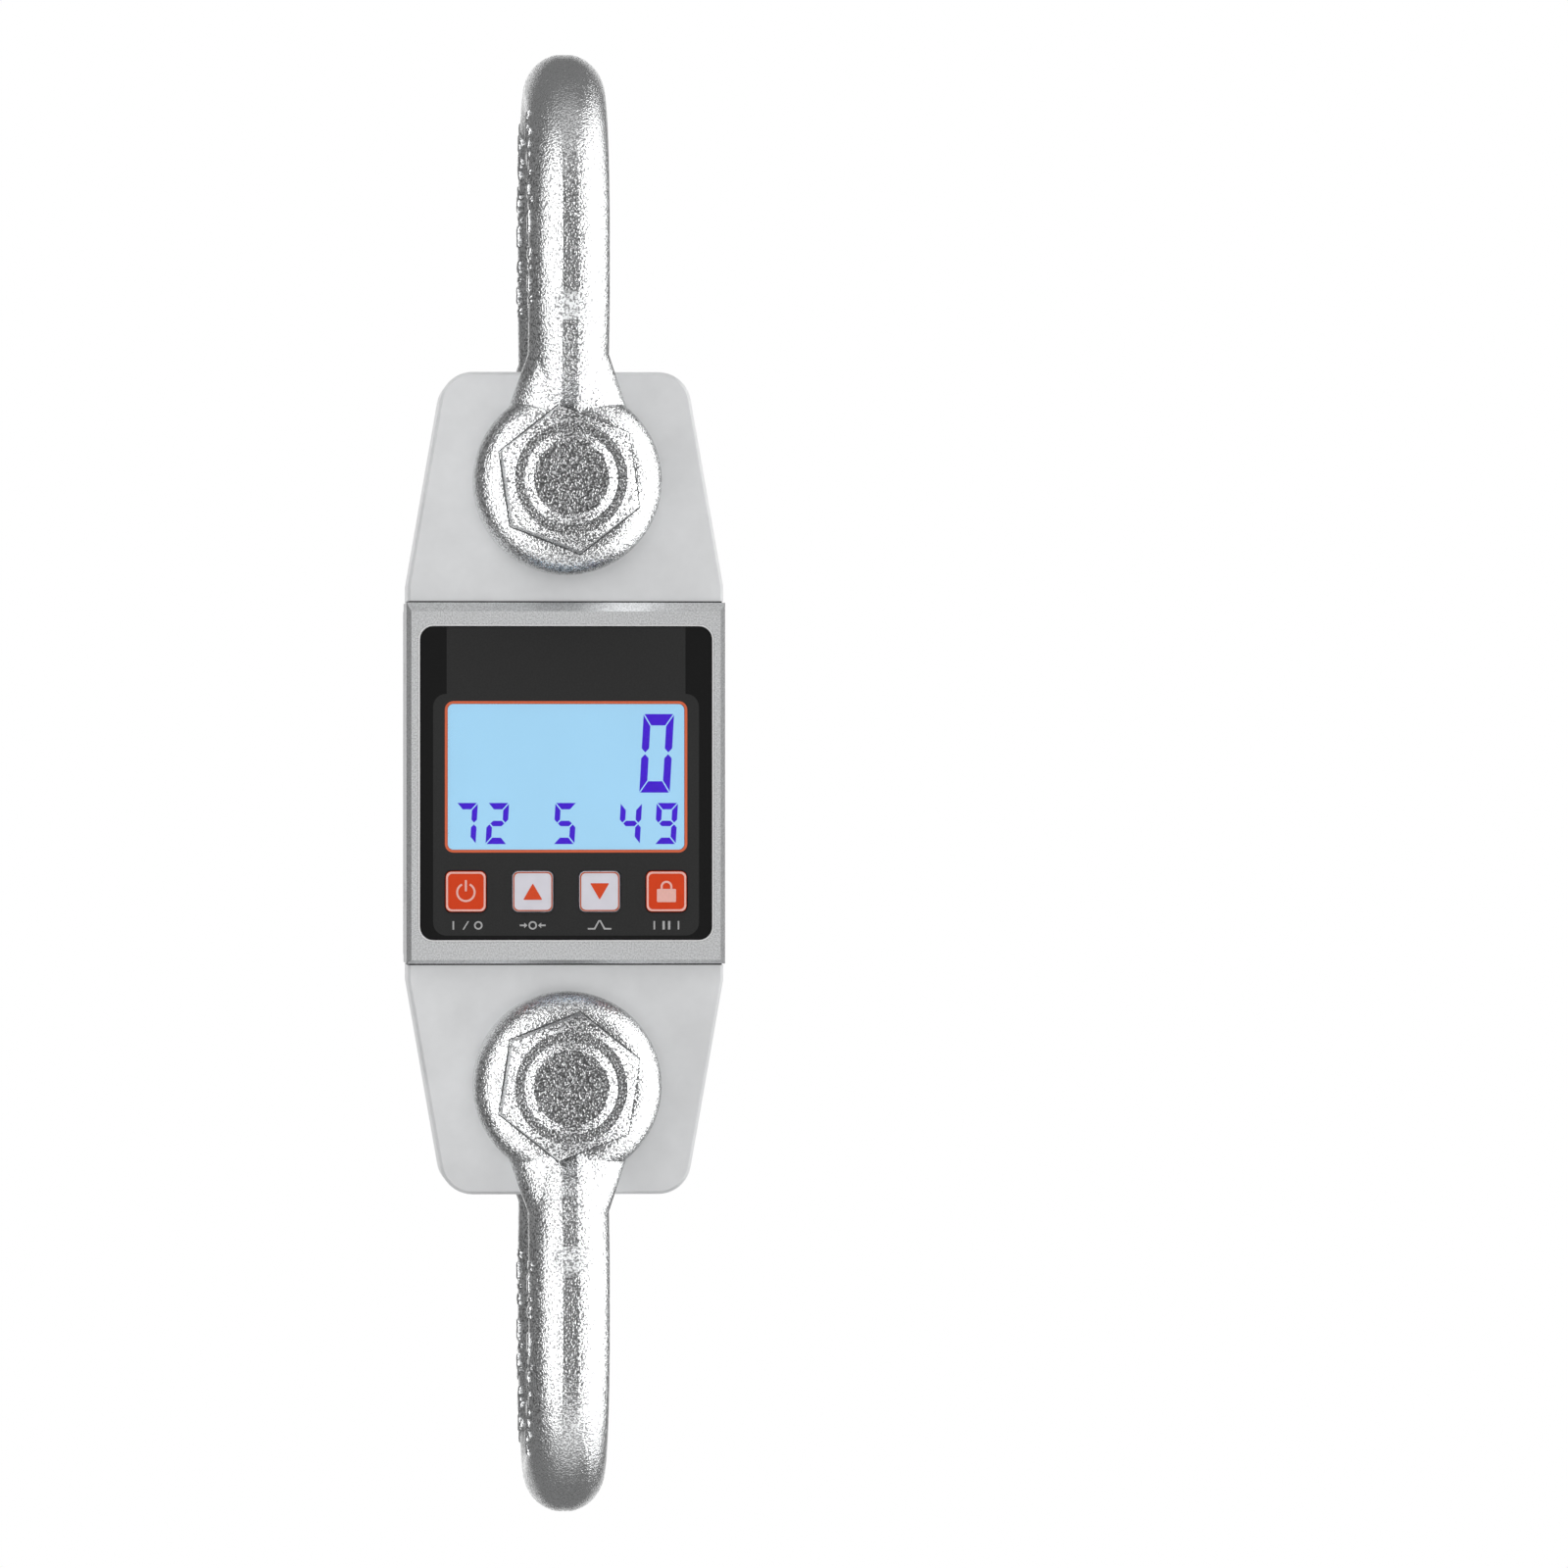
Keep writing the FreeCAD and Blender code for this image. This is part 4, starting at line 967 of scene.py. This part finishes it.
class SCALE_OT_print_legends(Operator):
    """Print a generic sign under each key"""

    bl_idname = "scale.print_legends"
    bl_label = "Print Legends"

    def execute(self, context):
        sizes = context.scene.scale_keys
        ink = printed_ink("grey_ink", context.scene.scale_finish.legend_ink)
        high = sizes.legend_height
        stroke = sizes.legend_stroke
        signs = {
            "key_power": self.on_off(high, stroke),
            "key_up": self.zero_between_arrows(high, stroke),
            "key_down": self.peak(high, stroke),
            "key_lock": self.hold(high, stroke),
        }
        y_face = PANEL_FRONT - sizes.print_thickness
        for key, shapes in signs.items():
            middle = centre_of(key)
            sign = moved(shapes, middle.x, middle.z - sizes.legend_drop)
            name = key + "_legend"
            printed(name, sign, y_face, sizes.print_thickness, ink)
        return {"FINISHED"}

    def on_off(self, high, stroke):
        side = 3.4 * MM  # from the slash to the bar and to the ring
        far, near, half = 0.9 * MM, 0.5 * MM, high / 2
        slash = [(-far, -half), (-near, -half), (far, half), (near, half)]
        ring = [circle(side, 0, radius) for radius in (half, half - stroke)]
        return [block(-side, 0, stroke, high), slash, *ring]

    def zero_between_arrows(self, high, stroke):
        shapes = [circle(0, 0, high / 2), circle(0, 0, high / 2 - stroke)]
        half = stroke / 2
        wing = 0.75 * MM
        for side in (-1, 1):
            tip, head, tail = (side * out * MM for out in (1.45, 2.3, 3.5))
            arrow = [(tip, 0), (head, wing), (head, half), (tail, half)]
            arrow += [(tail, -half), (head, -half), (head, -wing)]
            shapes.append(arrow)
        return shapes

    def peak(self, high, stroke):
        half = high / 2
        top, floor = half + stroke * 0.6, stroke - half
        right = [(1.2, -half), (3.2, -half), (3.2, floor), (1.5, floor), (0.3, top)]
        left = [(-x, z) for x, z in reversed(right)]
        return [[(x * MM, z) for x, z in [(0, half), *right, *left]]]

    def hold(self, high, stroke):
        inner, outer = 0.75 * MM, 3.3 * MM
        bars = [block(side * inner, 0, stroke * 1.5, high) for side in (-1, 1)]
        return bars + [block(side * outer, 0, stroke, high) for side in (-1, 1)]


class SCALE_OT_line_heads(Operator):
    """Lay a painted shadow round the foot of each bolt's head: a thin dark zinc ring where the
    gap under the head is in shade
    """

    bl_idname = "scale.line_heads"
    bl_label = "Line Heads"

    def execute(self, context):
        width = context.scene.scale_forging.head_shadow_width
        # The dark ring paints the shadow in the gap between each head and its bow.
        dark = painted_shadow_zinc()
        for end, pin in (("upper", UPPER_PIN), ("lower", LOWER_PIN)):
            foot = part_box(end + "_bolt")[0].y + HEAD_DEPTH
            turn = radians(HEAD_TURNS[end])
            widths = (HEAD_FLATS + 2 * width, HEAD_FLATS)
            rings = [circle(pin.x, pin.z, flats / sqrt(3), 6, turn) for flats in widths]
            name = end + "_head_shadow_line"
            printed(name, rings, foot, HEAD_SHADOW_THICKNESS, dark, end + "_pin_set")
        return {"FINISHED"}


class SCALE_OT_forge_marks(Operator):
    """Raise a generic row of bars on the outer side of each bow, as a forging die leaves"""

    bl_idname = "scale.forge_marks"
    bl_label = "Forge Marks"

    def execute(self, context):
        sizes = context.scene.scale_forging
        material = NODES["upper_bow"].material_slots[0].material
        for end, pin, up in (("upper", UPPER_PIN, 1), ("lower", LOWER_PIN, -1)):
            mesh = self.row_of_bars(sizes, pin, up)
            name = end + "_forged_marks"
            place_piece(name, mesh, material, end + "_shackle")
        return {"FINISHED"}

    def row_of_bars(self, sizes, pin, up):
        build = bmesh.new()
        for leg in (-1, 1):
            along = MARK_START
            for run, span in MARK_RUNS:
                if span:
                    self.bar(build, sizes, pin, up, leg, along, run * MM, radians(span))
                along += run * MM + sizes.mark_gap
        mesh = bpy.data.meshes.new("forged_marks")
        bmesh.ops.recalc_face_normals(build, faces=build.faces)
        build.to_mesh(mesh)
        build.free()
        for polygon in mesh.polygons:
            polygon.use_smooth = True
        return mesh

    def bar(self, build, sizes, pin, up, leg, start, run, span):
        """One rounded bar that runs along the bow on its -X side."""
        rows = []
        for step in range(MARK_COLUMNS + 1):
            share = step / MARK_COLUMNS
            ease = 1 - abs(2 * share - 1) ** 8
            wobble = 1 + 0.12 * sin(9 * share + span * 40)
            along = start + share * run
            row = []
            for across, rise in MARK_PROFILE:
                lift = sizes.mark_height * (rise * ease if rise > 0 else rise)
                point = self.on_bow(pin, up, leg, along, span * across * wobble, lift)
                row.append(build.verts.new(point))
            rows.append(row)
        for low, high in zip(rows, rows[1:]):
            for i in range(len(row)):
                j = (i + 1) % len(row)
                build.faces.new((low[i], low[j], high[j], high[i]))
        build.faces.new(rows[0])
        build.faces.new(rows[-1])

    def on_bow(self, pin, up, leg, along, turn, lift):
        """A point on the bow, so far along its centre line from the pin, turned round the
        stock from the -X side, and lifted off it."""
        radius = BOW_RADIUS + lift
        x = -radius * cos(turn)
        reach = LEG_OFFSET + radius * sin(turn)
        y, z = reach, along
        if along > CROWN_START:
            bend = (along - CROWN_START) / LEG_OFFSET
            y = reach * cos(bend)
            z = CROWN_START + reach * sin(bend)
        return Vector((x, leg * y, pin.z + up * z))


# -------- stage


class SCALE_OT_build_stage(Operator):
    """Set up the pale floor, the soft lights and the camera"""

    bl_idname = "scale.build_stage"
    bl_label = "Build Stage"

    def execute(self, context):
        sizes = context.scene.scale_stage
        self.lay_floor(sizes)
        self.light_world(context.scene)
        zinc = [f"{end}_{part}" for end in ("upper", "lower") for part in FORGINGS]
        groups = {
            "zinc": self.light_group("zinc_alone", zinc, "INCLUDE"),
            "rest": self.light_group("all_but_zinc", zinc, "EXCLUDE"),
            "casing": self.light_group("casing_alone", CASING, "INCLUDE"),
            "object": self.light_group("all_but_floor", ["floor"], "EXCLUDE"),
            "all": None,
        }
        for *softbox, group in SOFTBOXES:
            lamp = self.hang_softbox(*softbox)
            lamp.light_linking.receiver_collection = groups[group]
        self.set_camera(context.scene, sizes)
        context.scene.view_settings.view_transform = "Standard"
        return {"FINISHED"}

    def lay_floor(self, sizes):
        mesh = bpy.data.meshes.new("floor")
        build = bmesh.new()
        bmesh.ops.create_circle(build, cap_ends=True, segments=96, radius=FLOOR_RADIUS)
        build.to_mesh(mesh)
        build.free()
        floor = bpy.data.objects.new("floor", mesh)
        floor.location.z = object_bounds()[0].z - sizes.floor_drop
        # White backing paper lit from behind, so that it is as pale far away as it is near.
        paper = {"Roughness": 0.9, "Specular IOR Level": 0.0}
        paper |= {"Emission Color": WHITE, "Emission Strength": FLOOR_GLOW}
        tones = codes((0.3, "F6F6F6"), (0.7, "FAFAFA"))
        material = grained("pale_floor", paper, 3.0, {"Detail": 2.0}, tones=tones)
        mesh.materials.append(material)
        floor.visible_glossy = False
        bpy.context.scene.collection.objects.link(floor)
        floor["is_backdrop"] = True

    def light_group(self, name, things, state):
        """What a lamp lights: only the things named, or all but these."""
        group = bpy.data.collections.new(name)
        for thing in things:
            group.objects.link(bpy.data.objects[thing])
        for member in group.collection_objects:
            member.light_linking.link_state = state
        return group

    def light_world(self, scene):
        """A white room for the eye, and an even grey one for light and reflections."""
        world = bpy.data.worlds.new("studio")
        world.use_nodes = True
        tree = world.node_tree
        tree.nodes.clear()
        direction = add(tree, "TexCoord").outputs["Generated"]
        depth = add(tree, "SeparateXYZ", links={"Vector": direction}).outputs["Y"]
        dim = {"From Min": -1.0, "To Min": ROOM_FRONT, "To Max": ROOM_BACK}
        share = add(tree, "MapRange", dim, {"Value": depth})
        room = add(tree, "Background", {"Color": WHITE}, {"Strength": share})
        paper = add(tree, "Background", {"Color": WHITE})
        seen = add(tree, "LightPath").outputs["Is Camera Ray"]
        mix = add(tree, "MixShader", links={0: seen, 1: room, 2: paper})
        add(tree, "OutputWorld", links={"Surface": mix})
        scene.world = world

    def hang_softbox(self, name, azimuth, elevation, width, height, strength, shine):
        """A softbox that faces the object. One with shine is only seen in gloss, and the
        others only light matt surfaces."""
        light = bpy.data.lights.new(name, "AREA")
        light.shape = "RECTANGLE"
        light.size, light.size_y = width, height
        light.energy = strength * width * height * pi
        lamp = bpy.data.objects.new(name, light)
        turn, rise = radians(azimuth), radians(elevation)
        back = Vector((sin(turn) * cos(rise), -cos(turn) * cos(rise), sin(rise)))
        lamp.location = Vector((0, 0, PLATE.z)) + back * SOFTBOX_DISTANCE
        lamp.rotation_euler = (-back).to_track_quat("-Z", "Y").to_euler()
        lamp.visible_camera = False
        lamp.visible_glossy = shine
        lamp.visible_diffuse = not shine
        bpy.context.scene.collection.objects.link(lamp)
        return lamp

    def set_camera(self, scene, sizes):
        camera = bpy.data.cameras.new("camera")
        camera.lens = sizes.lens
        camera.sensor_width = 36.0
        camera.clip_end = 50.0
        distance = sizes.frame_width * sizes.lens / camera.sensor_width
        turn = -sizes.azimuth
        back = Vector((sin(turn), -cos(turn), 0.0))
        right = Vector((cos(turn), sin(turn), 0.0))
        stand = bpy.data.objects.new("camera", camera)
        middle = Vector((0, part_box("load_cell_body")[0].y, PLATE.z))
        stand.location = middle + back * distance
        aim = middle + right * sizes.object_offset - Vector((0, 0, CAMERA_DROP))
        look = (aim - stand.location).normalized()
        stand.rotation_euler = look.to_track_quat("-Z", "Y").to_euler()
        scene.collection.objects.link(stand)
        scene.camera = stand


# -------- the add-on


class SCALE_PT_sidebar(Panel):
    """Sizes, colours and pieces of the hanging scale"""

    bl_idname = "SCALE_PT_sidebar"
    bl_label = "Hanging Scale"
    bl_space_type = "VIEW_3D"
    bl_region_type = "UI"
    bl_category = "Hanging Scale"

    def draw(self, context):
        for group in GROUPS:
            box = self.layout.box()
            settings = getattr(context.scene, group)
            for name in settings.__annotations__:
                box.prop(settings, name)
        for operator in OPERATORS:
            self.layout.operator(operator.bl_idname)


OPERATORS = (
    SCALE_OT_finish_shackles,
    SCALE_OT_finish_casings,
    SCALE_OT_finish_front,
    SCALE_OT_finish_inside,
    SCALE_OT_highlight_opening,
    SCALE_OT_shade_housing_edges,
    SCALE_OT_print_panel,
    SCALE_OT_draw_digits,
    SCALE_OT_print_keys,
    SCALE_OT_print_legends,
    SCALE_OT_line_heads,
    SCALE_OT_forge_marks,
    SCALE_OT_build_stage,
)


def register():
    for cls in (*GROUPS.values(), *OPERATORS, SCALE_PT_sidebar):
        bpy.utils.register_class(cls)
    for name, group in GROUPS.items():
        setattr(bpy.types.Scene, name, bpy.props.PointerProperty(type=group))


def unregister():
    for name in GROUPS:
        delattr(bpy.types.Scene, name)
    for cls in (SCALE_PT_sidebar, *reversed(OPERATORS), *reversed(GROUPS.values())):
        bpy.utils.unregister_class(cls)


def main():
    register()
    for operator in OPERATORS:
        group, name = operator.bl_idname.split(".")
        getattr(getattr(bpy.ops, group), name)()


if __name__ == "__main__":
    main()
